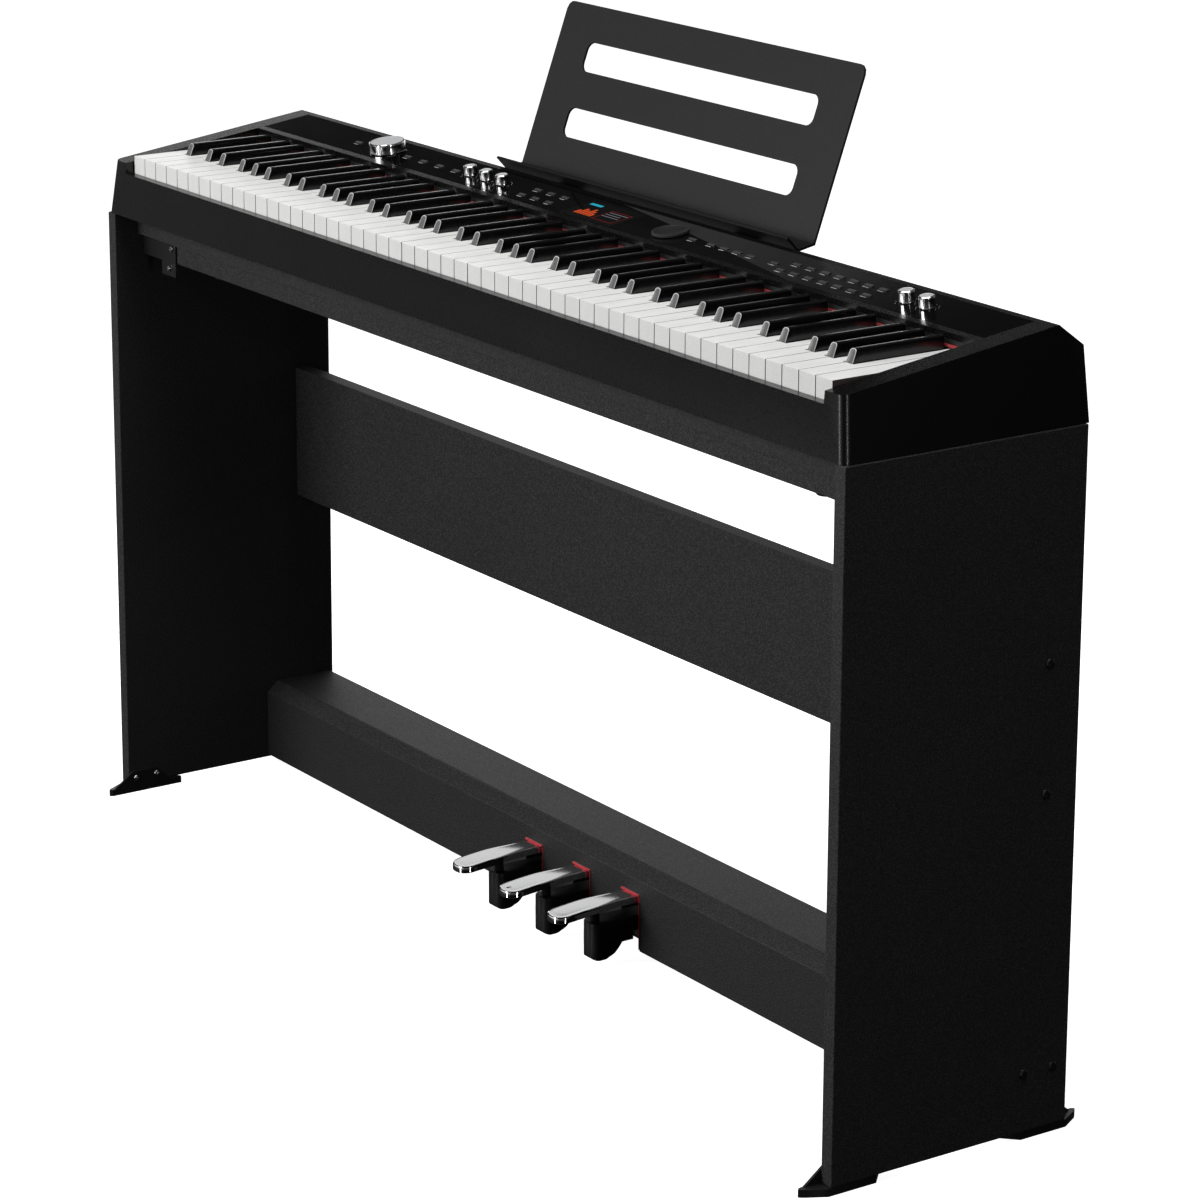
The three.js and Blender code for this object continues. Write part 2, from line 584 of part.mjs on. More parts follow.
function speaker(x) {
  const { wide, high, deep } = SPEAKER;
  const z = SPEAKER_Z;
  const rear = CHAMFER_Y - CASE_WALL - 2;
  const rim = extruded(roundedRectangle(wide, high, high / 2 - 1, x, z), 3, 8);
  const cone = extruded(roundedRectangle(wide - 30, high - 12, (high - 12) / 2 - 1, x, z), deep - 8, 8);
  const motor = new THREE.CylinderGeometry(12, 12, 8, 20);
  const stand = new THREE.Matrix4().makeBasis(
    new THREE.Vector3(1, 0, 0), new THREE.Vector3(0, 0, 1), new THREE.Vector3(0, -1, 0));
  rim.applyMatrix4(stand.clone().setPosition(0, rear, 0));
  cone.applyMatrix4(stand.clone().setPosition(0, rear - 2, 0));
  motor.translate(x, rear - deep + 4, z);
  return join([solidOf(rim), solidOf(cone), solidOf(motor)]);
}

// The key frame is a folded base plate with a guide rail under the heads and two rails under the tails,
// a lower one for the naturals' heels and a higher one behind it for the sharps' heels.
function keyFrame() {
  const half = KEYS_HALF - 2;
  const seat = BED_Z + FLOOR_THICK + GAP;
  const base = seat + FRAME.rise;
  const top = base + FRAME.sheet;
  const guide = underKeys - FRAME.guideDrop;
  const naturalRail = underKeys - KEY_HEEL_DROP - KEY_REST;
  const sharpRail = sharpBottom - SHARP_HEEL_DROP - KEY_REST;
  const front = KEY_FRONT + FRAME.inset;
  const step = KEY_TAIL_END + KEY_REST;
  const heel = KEY_TAIL_END - KEY_HEEL_DEPTH;
  const { foot } = FRAME;
  const profile = [[front, base], [front + foot, base], [front + foot, seat], [front + 2 * foot, seat],
    [front + 2 * foot, base], [sharpEnd - 2 * foot, base], [sharpEnd - 2 * foot, seat],
    [sharpEnd - foot, seat], [sharpEnd - foot, base], [sharpEnd, base], [sharpEnd, sharpRail],
    [step + KEY_REST, sharpRail],
    [step, naturalRail], [heel, naturalRail], [heel - foot / 2, top], [front + 4 * foot, top],
    [front + 3.5 * foot, guide], [front + 2.5 * foot, guide], [front + 2 * foot, top], [front, top]];
  return sideProfile(profile, -half, half);
}

function mainBoard() {
  const front = TRIM_FRONT + TRIM_WIDTH + LEDGE + BOARD_INSET;
  const rear = PANEL_REAR - LEDGE - BOARD_INSET;
  const low = KEY_TOP + BOARD_LIFT;
  return block(VOLUME_X - 40, TONE_KNOB_X[1] + 40, front, rear, low, low + BOARD_THICK);
}

// ---------- control panel, in deck coordinates ----------
// Each spot is [x, row], where row is -0.5 or 0.5 in a double row and 0 in a single one.
const singleRow = (first, pitch, count) => [...Array(count).keys()].map((i) => [first + pitch * i, 0]);
const doubleRow = (first, pitch, count) => singleRow(first, pitch, count)
  .flatMap(([x]) => [[x, -0.5], [x, 0.5]]);
const BUTTON_GROUPS = [
  { name: 'power_button', spots: singleRow(-454, 0, 1) },
  { name: 'voice_buttons', spots: singleRow(-356, 31, 4) },
  { name: 'effect_buttons', spots: doubleRow(-125.5, 24, 3) },
  { name: 'dial_buttons', spots: [...singleRow(152, 0, 1), ...singleRow(182, 21, 4)] },
  { name: 'style_buttons', spots: [...singleRow(281, 0, 1), ...doubleRow(303, 21.3, 7)] },
];

const spotV = (row) => panelMid + row * BUTTON_ROW;

function buttonGroup({ spots }) {
  const xs = spots.map(([x]) => x);
  const rows = spots.map(([, row]) => spotV(row));
  const pad = 2;
  const web = block(Math.min(...xs) - BUTTON.wide / 2 - pad, Math.max(...xs) + BUTTON.wide / 2 + pad,
    Math.min(...rows) - BUTTON.deep / 2 - pad, Math.max(...rows) + BUTTON.deep / 2 + pad,
    -BUTTON_WEB_DROP - BUTTON_WEB, -BUTTON_WEB_DROP);
  const top = BUTTON_TRAVEL + BUTTON.proud;
  const caps = spots.map(([x, row]) => block(x - BUTTON.wide / 2, x + BUTTON.wide / 2,
    spotV(row) - BUTTON.deep / 2, spotV(row) + BUTTON.deep / 2, -BUTTON_WEB_DROP - 1, top));
  return join([web, ...caps]);
}

const KNOBS = [
  { name: 'volume_knob', x: VOLUME_X, radius: VOLUME_R, high: VOLUME_H, finish: 'chrome' },
  ...EFFECT_KNOB_X.map((x, i) => (
    { name: `effect_knob_${i + 1}`, x, radius: SMALL_KNOB_R, high: SMALL_KNOB_H, finish: 'chrome' })),
  ...TONE_KNOB_X.map((x, i) => (
    { name: `tone_knob_${i + 1}`, x, radius: TONE_KNOB_R, high: SMALL_KNOB_H + 1, finish: 'chrome' })),
  { name: 'jog_dial', x: DIAL_X, radius: DIAL_R, high: DIAL_H, finish: 'plastic' },
];

// A turned knob: the shaft goes down through the panel, and the cap has a small bevel round its top.
function knob({ radius, high }) {
  const bevel = Math.min(0.8, high / 4);
  const profile = [[0, -SHAFT_DROP], [SHAFT_R, -SHAFT_DROP], [SHAFT_R, KNOB_LIFT], [radius, KNOB_LIFT],
    [radius, KNOB_LIFT + high - bevel], [radius - bevel, KNOB_LIFT + high], [0, KNOB_LIFT + high]];
  const geometry = new THREE.LatheGeometry(profile.map(([r, z]) => new THREE.Vector2(r, z)), 32);
  geometry.rotateX(Math.PI / 2);
  return solidOf(geometry);
}

function controlPanel() {
  const half = OPENING_HALF - GAP;
  const front = alongDeck(panelFront);
  const rear = alongDeck(PANEL_REAR);
  let plate = block(-half, half, front, rear, -PANEL_THICK, 0);
  const cut = KNOBS.map(({ x }) => upright(SHAFT_R + RUN, -PANEL_THICK - 1, 1, x, panelMid, 16));
  const halfWide = BUTTON.wide / 2 + RUN;
  const halfDeep = BUTTON.deep / 2 + RUN;
  for (const [x, row] of BUTTON_GROUPS.flatMap(({ spots }) => spots)) {
    const v = spotV(row);
    cut.push(block(x - halfWide, x + halfWide, v - halfDeep, v + halfDeep, -PANEL_THICK - 1, 1));
  }
  const { wide, deep, thick, radius } = DISPLAY;
  const recess = roundedRectangle(wide + 2 * GAP, deep + 2 * GAP, radius + GAP, 0, panelMid);
  cut.push(plan(recess, -thick - GAP, 1, 4));
  plate = plate.subtract(join(cut));
  return plate;
}

function displayLens() {
  const { wide, deep, thick, radius } = DISPLAY;
  return plan(roundedRectangle(wide, deep, radius, 0, panelMid), -thick, 0.05, 4);
}

// ---------- music rest ----------
// One folded sheet: a plate with two long slots, a book ledge with a raised lip, and two tabs for the case.
function musicRest() {
  const lean = THREE.MathUtils.degToRad(REST_LEAN);
  const top = [restFoot[0] + REST_LENGTH * Math.sin(lean), restFoot[1] + REST_LENGTH * Math.cos(lean)];
  const folds = [fromDeckEdge(REST_LIP), restFold, restFoot, top];
  let sheet = sideProfile(bentSheet(folds, REST_SHEET), -REST_W / 2, REST_W / 2);
  const upToPlate = new THREE.Matrix4().makeBasis(
    new THREE.Vector3(1, 0, 0), new THREE.Vector3(0, Math.sin(lean), Math.cos(lean)),
    new THREE.Vector3(0, -Math.cos(lean), Math.sin(lean)));
  upToPlate.setPosition(0, restFoot[0], restFoot[1]);
  const throughPlate = (shape) => {
    const geometry = extruded(shape, 12, 5);
    geometry.translate(0, 0, -6);
    geometry.applyMatrix4(upToPlate);
    return solidOf(geometry);
  };
  const { wide, high, radius } = REST_SLOT;
  for (const mid of REST_SLOT_MID) {
    sheet = sheet.subtract(throughPlate(roundedRectangle(wide, high, radius, 0, mid)));
  }
  for (const side of [-1, 1]) {
    const x = side * (REST_W / 2 - REST_CORNER_R);
    const far = side * (REST_W / 2 + REST_CORNER_R);
    const y = REST_LENGTH - REST_CORNER_R;
    const disc = new THREE.Shape();
    disc.absarc(x, y, REST_CORNER_R, 0, 2 * Math.PI);
    const square = outline([[x, y], [far, y], [far, REST_LENGTH * 1.1], [x, REST_LENGTH * 1.1]]);
    sheet = sheet.subtract(throughPlate(square).subtract(throughPlate(disc)));
  }
  const tabTop = restFoot[1] - REST_SHEET / 2 - 1;
  const tabs = [-REST_TAB.x, REST_TAB.x].map((x) => block(x - REST_TAB.wide / 2, x + REST_TAB.wide / 2,
    restTabY - REST_SHEET / 2, restTabY + REST_SHEET / 2, tabTop - REST_TAB.down, tabTop));
  return join([sheet, ...tabs]);
}

// ---------- keys ----------
// C to E share three natural widths among five tails, and F to B share four among seven.
const GROUPS = [{ start: 0, naturals: 3 }, { start: 3, naturals: 4 }];
const firstC = 2;                          // natural number of the lowest C, counted from the lowest A

const naturalLeft = (n) => -KEYS_HALF + n * NATURAL_PITCH;

function tailsOf(octave, group) {
  const left = naturalLeft(firstC + octave * 7 + group.start);
  const count = group.naturals * 2 - 1;
  const width = group.naturals * NATURAL_PITCH / count;
  return { left, count, width };
}

function everyKey() {
  const naturals = [];
  const sharps = [];
  for (let octave = -1; octave < 8; octave += 1) {
    for (const group of GROUPS) {
      const { left, count, width } = tailsOf(octave, group);
      for (let i = 0; i < count; i += 1) {
        const tail = [left + i * width, left + (i + 1) * width];
        if (i % 2 === 0) {
          const number = firstC + octave * 7 + group.start + i / 2;
          if (number >= 0 && number < NATURALS) naturals.push({ number, octave, tail });
        } else if (tail[0] > -KEYS_HALF && tail[1] < KEYS_HALF) {
          sharps.push({ octave, mid: (tail[0] + tail[1]) / 2 });
        }
      }
    }
  }
  return { naturals, sharps };
}

const naturalHeel = (x0, x1) => block(x0, x1, KEY_TAIL_END - KEY_HEEL_DEPTH, KEY_TAIL_END,
  underKeys - KEY_HEEL_DROP, underKeys + 0.5);

const sharpHeel = (x0, x1) => block(x0, x1, sharpEnd - SHARP_HEEL_DEPTH, sharpEnd,
  sharpBottom - SHARP_HEEL_DROP, KEY_TOP);

function naturalKey({ number, tail }) {
  const head = [naturalLeft(number) + NATURAL_GAP / 2, naturalLeft(number + 1) - NATURAL_GAP / 2];
  const clear = NATURAL_GAP / 2;
  const first = number === 0;
  const last = number === NATURALS - 1;
  const x0 = first ? head[0] : Math.max(tail[0] + clear, head[0]);
  const x1 = last ? head[1] : Math.min(tail[1] - clear, head[1]);
  const shoulder = KEY_FRONT + NATURAL_HEAD;
  const points = [[head[0], KEY_FRONT], [head[1], KEY_FRONT], [head[1], shoulder], [x1, shoulder],
    [x1, KEY_TAIL_END], [x0, KEY_TAIL_END], [x0, shoulder], [head[0], shoulder]];
  const kept = points.filter(([x, y], i) => {
    const [px, py] = points[(i + points.length - 1) % points.length];
    return Math.abs(x - px) + Math.abs(y - py) > 1e-6;
  });
  const body = plan(outline(kept), underKeys, KEY_TOP);
  const lip = block(head[0], head[1], KEY_FRONT, KEY_FRONT + NATURAL_LIP_DEPTH,
    KEY_TOP - NATURAL_LIP, underKeys + 1);
  return join([body, lip, naturalHeel(x0, x1)]);
}

function sharpKey({ mid }) {
  const front = KEY_FRONT + NATURAL_HEAD + 1;
  const capEnd = TRIM_FRONT - 2;
  const low = SHARP_WIDTH / 2;
  const high = SHARP_TOP_WIDTH / 2;
  const top = KEY_TOP + SHARP_RISE;
  const cap = hull([[mid - low, front, sharpBottom], [mid + low, front, sharpBottom],
    [mid - low, capEnd, sharpBottom], [mid + low, capEnd, sharpBottom],
    [mid - high, front + SHARP_SLOPE, top], [mid + high, front + SHARP_SLOPE, top],
    [mid - high, capEnd, top], [mid + high, capEnd, top]]);
  const body = block(mid - low, mid + low, front + 8, sharpEnd, sharpBottom, KEY_TOP);
  return join([cap, body, sharpHeel(mid - low, mid + low)]);
}

// The keys of a set share one heel, which spans them all.
function naturalSet(keys) {
  const xs = keys.map(({ number }) => naturalLeft(number));
  const heel = naturalHeel(Math.min(...xs) + NATURAL_GAP, Math.max(...xs) + NATURAL_PITCH - NATURAL_GAP);
  return join([...keys.map(naturalKey), heel]);
}

function sharpSet(keys) {
  const xs = keys.map(({ mid }) => mid);
  const heel = sharpHeel(Math.min(...xs) - SHARP_WIDTH / 2, Math.max(...xs) + SHARP_WIDTH / 2);
  return join([...keys.map(sharpKey), heel]);
}

// ---------- assembly ----------
const SIDES = [['left', -1], ['right', 1]];

for (const [word, side] of SIDES) {
  place(`side_panel_${word}`, sidePanel(side), 'laminate');
  place(`foot_front_${word}`, foot(side, -1), 'steel');
  place(`foot_rear_${word}`, foot(side, 1), 'steel');
  place(`thumb_screw_${word}`, thumbScrew(side * THUMB.x), 'steel');
  place(`speaker_${word}`, speaker(side * SPEAKER.x), 'cone');
}
place('modesty_board', modestyBoard(), 'laminate');
place('pedal_box_front', pedalBoxFront(), 'laminate');
place('pedal_box_top', pedalBoxTop(), 'laminate');
place('rail_top_board', railTopBoard(), 'laminate');
place('front_rail', frontRail(), 'laminate');
place('rail_bracket', railBracket(), 'steel');

['left', 'centre', 'right'].forEach((word, i) => {
  place(`pedal_${word}`, pedal(pedalX[i]), 'chrome');
  place(`pedal_support_${word}`, pedalSupport(pedalX[i]), 'plastic');
});
place('pedal_mount', pedalMount(), 'steel');

place('upper_case', upperCase(), 'plastic');
place('bottom_case', bottomCase(), 'plastic');
place('rear_jack_plate', jackPlate(), 'plastic');
place('key_frame', keyFrame(), 'steel');
place('key_felt', keyFelt(), 'felt');
place('main_board', mainBoard(), 'board');
place('control_panel', controlPanel(), 'gloss', deck);
place('display_lens', displayLens(), 'gloss', deck);
for (const item of KNOBS) {
  place(item.name, knob(item), item.finish, deck).position.set(item.x, panelMid, 0);
}
for (const group of BUTTON_GROUPS) {
  place(group.name, buttonGroup(group), 'plastic', deck);
}
place('music_rest', musicRest(), 'steel');

const MIDDLE_OCTAVE = 3;                   // the octave from middle C, whose twelve keys move one by one
const { naturals, sharps } = everyKey();
const NATURAL_NAMES = ['c', 'd', 'e', 'f', 'g', 'a', 'b'];
const SHARP_NAMES = ['c_sharp', 'd_sharp', 'f_sharp', 'g_sharp', 'a_sharp'];
const inOctave = (key) => key.octave === MIDDLE_OCTAVE;
naturals.filter(inOctave).forEach((key, i) => place(`key_${NATURAL_NAMES[i]}`, naturalKey(key), 'natural'));
sharps.filter(inOctave).forEach((key, i) => place(`key_${SHARP_NAMES[i]}`, sharpKey(key), 'sharp'));
place('naturals_low', naturalSet(naturals.filter(({ octave }) => octave < MIDDLE_OCTAVE)), 'natural');
place('naturals_high', naturalSet(naturals.filter(({ octave }) => octave > MIDDLE_OCTAVE)), 'natural');
place('sharps_low', sharpSet(sharps.filter(({ octave }) => octave < MIDDLE_OCTAVE)), 'sharp');
place('sharps_high', sharpSet(sharps.filter(({ octave }) => octave > MIDDLE_OCTAVE)), 'sharp');

// The origin goes to the middle of the outline, on the floor.
const extent = new THREE.Box3().setFromObject(piano);
piano.position.y = -(extent.min.y + extent.max.y) / 2;

export default piano;
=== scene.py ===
# %% [markdown]
# # A digital piano on its furniture stand
# The instrument is a slim black keyboard with 88 keys. It lies on two side panels that a modesty board, a
# rail and a pedal board hold together. The CAD frame already has every piece in its place, so this lesson
# gives each piece its fine shape and its finish. Every place and size is asked from the frame, in metres.

# %% Load the frame
import json
import math

import bmesh
import bpy
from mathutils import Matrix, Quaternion, Vector

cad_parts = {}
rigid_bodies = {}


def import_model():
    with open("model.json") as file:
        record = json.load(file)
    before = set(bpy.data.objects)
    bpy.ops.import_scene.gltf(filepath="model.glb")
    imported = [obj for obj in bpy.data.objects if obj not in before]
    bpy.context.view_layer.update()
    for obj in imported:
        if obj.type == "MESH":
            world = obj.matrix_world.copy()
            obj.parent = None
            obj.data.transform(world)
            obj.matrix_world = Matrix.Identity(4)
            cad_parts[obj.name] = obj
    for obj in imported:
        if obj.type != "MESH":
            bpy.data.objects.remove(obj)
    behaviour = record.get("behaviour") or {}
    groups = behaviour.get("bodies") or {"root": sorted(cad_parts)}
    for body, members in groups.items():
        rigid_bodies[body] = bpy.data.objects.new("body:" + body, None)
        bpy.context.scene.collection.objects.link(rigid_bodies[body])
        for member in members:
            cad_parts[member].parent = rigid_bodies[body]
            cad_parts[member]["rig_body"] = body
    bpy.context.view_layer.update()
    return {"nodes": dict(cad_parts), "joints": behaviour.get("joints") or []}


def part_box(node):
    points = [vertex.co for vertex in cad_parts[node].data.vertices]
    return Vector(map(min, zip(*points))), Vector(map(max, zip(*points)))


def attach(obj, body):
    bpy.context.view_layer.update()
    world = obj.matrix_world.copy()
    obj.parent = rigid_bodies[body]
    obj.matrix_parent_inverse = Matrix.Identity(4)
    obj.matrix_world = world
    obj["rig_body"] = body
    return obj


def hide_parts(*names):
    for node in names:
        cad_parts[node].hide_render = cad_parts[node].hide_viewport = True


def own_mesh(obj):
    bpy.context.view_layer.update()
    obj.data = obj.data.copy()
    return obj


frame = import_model()
joints = {joint["name"]: joint for joint in frame["joints"]}
MM = 0.001
SIDES = (("left", -1), ("right", 1))
PEDALS = ("left", "centre", "right")

# %% [markdown]
# ## Camera
# A catalogue view from the front right, a little above the keys. A wide lens from close by would make the
# near panel look much taller than the far one. A long lens keeps the uprights almost parallel, and a small
# shift puts the piano in the middle without turning the camera.

# %% Camera
VIEW_AZIMUTH = math.radians(56.156)
VIEW_ELEVATION = math.radians(14.605)
VIEW_ROLL = math.radians(0.06)
CAMERA_PLACE = (3.3117, -2.2467, 1.5553)
LENS_MM = 125.86
LENS_SHIFT = (0.0502, -0.1265)
camera = bpy.data.objects.new("camera", bpy.data.cameras.new("camera"))
bpy.context.scene.collection.objects.link(camera)
bpy.context.scene.camera = camera
camera.data.lens = LENS_MM
camera.data.shift_x, camera.data.shift_y = LENS_SHIFT
camera.data.clip_end = 60
camera.location = CAMERA_PLACE
towards_camera = Vector((math.sin(VIEW_AZIMUTH) * math.cos(VIEW_ELEVATION),
                         -math.cos(VIEW_AZIMUTH) * math.cos(VIEW_ELEVATION), math.sin(VIEW_ELEVATION)))
camera.rotation_mode = "QUATERNION"
camera.rotation_quaternion = (-towards_camera).to_track_quat("-Z", "Y") @ Quaternion((0, 0, 1), VIEW_ROLL)
print("camera looks along", [round(-v, 3) for v in towards_camera])

# %% [markdown]
# ## Studio
# Black furniture shows only what it mirrors. A dark room keeps the gloss black, and large soft lamps draw
# the long highlights on edges, knobs and pedals. The room is painted in the world shader, which is lighter
# work than building walls: the camera sees white, and reflections see a bright ring low over the horizon.

# %% World and lamps
def paint_room(*stops):
    """A world that the camera sees white. Reflections see grey rings, which fade towards the right. A ring is
    given as (sine of elevation, brightness)."""
    world = bpy.data.worlds.new("studio")
    bpy.context.scene.world = world
    world.use_nodes = True
    nodes, links = world.node_tree.nodes, world.node_tree.links
    nodes.clear()
    place = nodes.new("ShaderNodeTexCoord")
    height = nodes.new("ShaderNodeSeparateXYZ")
    links.new(place.outputs["Generated"], height.inputs[0])
    share = nodes.new("ShaderNodeMapRange")
    share.inputs["From Min"].default_value = -1.0
    links.new(height.outputs["Z"], share.inputs["Value"])
    ramp = nodes.new("ShaderNodeValToRGB")
    colours = ramp.color_ramp.elements
    for sine, brightness in stops[1:-1]:
        colours.new((sine + 1) / 2).color = (brightness, brightness, brightness, 1)
    for element, (sine, brightness) in ((colours[0], stops[0]), (colours[-1], stops[-1])):
        element.color = (brightness, brightness, brightness, 1)
    links.new(share.outputs[0], ramp.inputs[0])
    seen = nodes.new("ShaderNodeBackground")
    seen.inputs["Color"].default_value = (1, 1, 1, 1)
    room = nodes.new("ShaderNodeBackground")
    right_share = nodes.new("ShaderNodeMapRange")
    for socket, value in (("From Min", -0.1), ("From Max", 0.4), ("To Min", 1.0), ("To Max", 0.1)):
        right_share.inputs[socket].default_value = value
    links.new(height.outputs["X"], right_share.inputs["Value"])
    links.new(right_share.outputs[0], room.inputs["Strength"])
    links.new(ramp.outputs[0], room.inputs["Color"])
    path = nodes.new("ShaderNodeLightPath")
    mix = nodes.new("ShaderNodeMixShader")
    links.new(path.outputs["Is Camera Ray"], mix.inputs[0])
    links.new(room.outputs[0], mix.inputs[1])
    links.new(seen.outputs[0], mix.inputs[2])
    output = nodes.new("ShaderNodeOutputWorld")
    links.new(mix.outputs[0], output.inputs[0])


def lamp(name, place, aim, size, watts):
    data = bpy.data.lights.new(name, "AREA")
    data.shape = "RECTANGLE"
    data.size, data.size_y = size
    data.energy = watts
    lamp_object = bpy.data.objects.new(name, data)
    lamp_object.location = place
    lamp_object.visible_camera = False
    lamp_object.rotation_mode = "QUATERNION"
    lamp_object.rotation_quaternion = (Vector(aim) - Vector(place)).to_track_quat("-Z", "Y")
    bpy.context.scene.collection.objects.link(lamp_object)


paint_room((-1, 0.04), (-0.35, 0.02), (-0.12, 0.04), (0.0, 0.6), (0.08, 1.0), (0.19, 1.0), (0.25, 0.015),
           (0.55, 0.01), (0.8, 0.10), (1, 0.25))
lamp("overhead_softbox", (0.2, -0.5, 3.2), (0, -0.1, 0.7), (3.0, 1.4), 72)
lamp("front_softbox", (-1.4, -3.6, 1.9), (0, 0, 0.5), (2.2, 1.6), 90)
lamp("front_strip", (-0.4, -3.7, 0.2), (0.6, -0.1, 0.2), (0.28, 2.8), 30)
lamp("right_strip", (3.9, -0.8, 0.2), (0.6, -0.1, 0.2), (0.28, 2.8), 22)
lamp("pedal_card", (-1.25, 0.75, 0.5), (0, -0.05, 0.15), (1.7, 0.95), 4.6)
bpy.context.scene.view_settings.view_transform = "Standard"
print("lamps", len(bpy.data.lights))

# %% [markdown]
# ## Finishes
# A finish is a small node tree. Written node by node it is hard to read, so two classes carry the work.
# `Wire` wraps one value, and arithmetic on it adds the Math nodes. `Finish` makes any other node from its
# kind, its settings and what goes into its sockets.

# %% Wire and Finish
class Wire:
    """One value in a finish. Arithmetic on it adds Math nodes."""

    def __init__(self, finish, socket):
        self.finish = finish
        self.socket = socket

    def math(self, operation, first, second=None):
        sockets = {0: first} if second is None else {0: first, 1: second}
        return self.finish.node("ShaderNodeMath", {"operation": operation}, sockets)

    def __add__(self, other):
        return self.math("ADD", self, other)

    def __sub__(self, other):
        return self.math("SUBTRACT", self, other)

    def __rsub__(self, other):
        return self.math("SUBTRACT", other, self)

    def __mul__(self, other):
        return self.math("MULTIPLY", self, other)

    def __gt__(self, other):
        return self.math("GREATER_THAN", self, other)

    def __lt__(self, other):
        return self.math("LESS_THAN", self, other)

    __radd__ = __add__
    __rmul__ = __mul__

    def ramp(self, low, high):
        """0 where the value is under low, 1 over high, and smooth between."""
        settings = {"interpolation_type": "SMOOTHSTEP", "clamp": True}
        return self.finish.node("ShaderNodeMapRange", settings, {0: self, 1: low, 2: high, 3: 0.0, 4: 1.0})


class Finish:
    """A procedural material. Values given here are the same all over the surface."""

    def __init__(self, name, **values):
        self.material = bpy.data.materials.new(name)
        self.material.use_nodes = True
        self.tree = self.material.node_tree
        self.shader = self.tree.nodes["Principled BSDF"]
        for socket, value in values.items():
            self.shader.inputs[socket.replace("_", " ")].default_value = value

    def node(self, kind, settings, sockets, output=0):
        made = self.tree.nodes.new(kind)
        for setting, value in settings.items():
            setattr(made, setting, value)
        for socket, value in sockets.items():
            self.feed(made.inputs[socket], value)
        return Wire(self, made.outputs[output])

    def feed(self, socket, value):
        if isinstance(value, Wire):
            self.tree.links.new(value.socket, socket)
        else:
            socket.default_value = value

    def place(self, stretch=(1, 1, 1)):
        """Where a point is on the piano, in metres, with each axis scaled."""
        spot = self.node("ShaderNodeTexCoord", {}, {}, "Object")
        return self.node("ShaderNodeVectorMath", {"operation": "MULTIPLY"}, {0: spot, 1: stretch})

    def axis(self, name, spot):
        return self.node("ShaderNodeSeparateXYZ", {}, {0: spot}, name)

    def noise(self, scale, detail=2, stretch=(1, 1, 1)):
        sockets = {"Vector": self.place(stretch), "Scale": scale, "Detail": detail, "Roughness": 0.6}
        return self.node("ShaderNodeTexNoise", {}, sockets, "Fac")

    def mix(self, mask, first, second):
        """first where the mask is 0, second where it is 1, for colours."""
        sockets = {0: mask, 6: grey(first), 7: grey(second)}
        return self.node("ShaderNodeMix", {"data_type": "RGBA"}, sockets, 2)

    def math_of(self, operation, value):
        return self.node("ShaderNodeMath", {"operation": operation}, {0: value})

    def bump(self, height, depth):
        sockets = {"Height": height, "Distance": depth, "Strength": 1.0}
        self.wear(Normal=self.node("ShaderNodeBump", {}, sockets))

    def wear(self, **wires):
        """Feeds what changes over the surface to the shader's sockets."""
        for socket, wire in wires.items():
            self.feed(self.shader.inputs[socket.replace("_", " ")], wire)
        return self


def grey(colour):
    return (colour, colour, colour, 1) if isinstance(colour, float) else colour


print("shader helpers ready")

# %% [markdown]
# ### Black finishes
# The stand is chipboard in a black laminate with a fine grey speckle. The case is moulded plastic with a
# spark texture, and the music rest and feet are powder-coated steel. They are all black, so what tells them
# apart is the size of the speckle and how wide the highlight spreads. One function makes them all, so that
# they stay a family.

# %% Black finishes
def speckled(name, dark, light, scale, rough, depth, specular=0.5):
    """A dark surface with a speckle of that scale per metre, and the same speckle as a faint relief."""
    finish = Finish(name, Specular_IOR_Level=specular)
    speckle = finish.noise(scale, 3)
    cloud = finish.noise(9, 2)
    mask = speckle.ramp(0.42, 0.72) * (0.8 + 0.4 * cloud)
    finish.wear(Base_Color=finish.mix(mask, dark, light), Roughness=rough - 0.12 * mask + 0.05 * cloud)
    finish.bump(speckle, depth)
    return finish


LAMINATE = speckled("laminate", 0.0085, 0.056, 850, 0.60, 0.00008, 0.35)
STEEL = speckled("powder_coat", 0.006, 0.014, 1500, 0.42, 0.00005)
CASE = speckled("case_plastic", 0.0010, 0.0030, 1100, 0.27, 0.000015, 0.40)
PLASTIC = speckled("inner_plastic", 0.004, 0.008, 900, 0.5, 0.00004)
REST = speckled("rest_coat", 0.004, 0.012, 900, 0.42, 0.00004, 0.22)
BUTTON = speckled("button_plastic", 0.022, 0.060, 2600, 0.45, 0.00003)
RUBBER = speckled("rubber", 0.008, 0.013, 700, 0.8, 0.00008)
SHARP = speckled("sharp_plastic", 0.0012, 0.0030, 1800, 0.2, 0.00001)

print("black finishes", len(bpy.data.materials))

# %% [markdown]
# ### Keys, metal, felt
# The naturals imitate ivory: a warm white with a fine grain that runs along the key. Noise that is
# stretched along one axis gives that grain, and it needs no picture. The keys' sides get painted shade, a
# dark reddish grey that stands in for the shadow in the narrow gaps between keys. The pedals and knobs are
# polished on their sides and satin on top. Felt is a dense mat of fibres, so it has no gloss.

# %% Key, metal and felt finishes
IVORY = Finish("ivory_white", Specular_IOR_Level=0.45)
grain = IVORY.noise(1, 3, (900, 22, 900))
tone = IVORY.noise(5, 1, (9, 1, 1))
facing = IVORY.node("ShaderNodeNewGeometry", {}, {}, "Normal")
# Painted shade: faces that look sideways along X, the keys' sides, are darkened to a reddish grey that stands
# in for the shadow in the narrow gaps between keys.
side = IVORY.math_of("ABSOLUTE", IVORY.axis("X", facing)).ramp(0.75, 0.95)
ivory = IVORY.mix(grain.ramp(0.3, 0.75) * 0.7 + 0.3 * tone, (0.70, 0.70, 0.69, 1), (0.91, 0.91, 0.90, 1))
IVORY.wear(Base_Color=IVORY.mix(side, ivory, (0.10, 0.075, 0.075, 1)), Roughness=0.28 + 0.16 * grain)
IVORY.bump(grain, 0.00006)


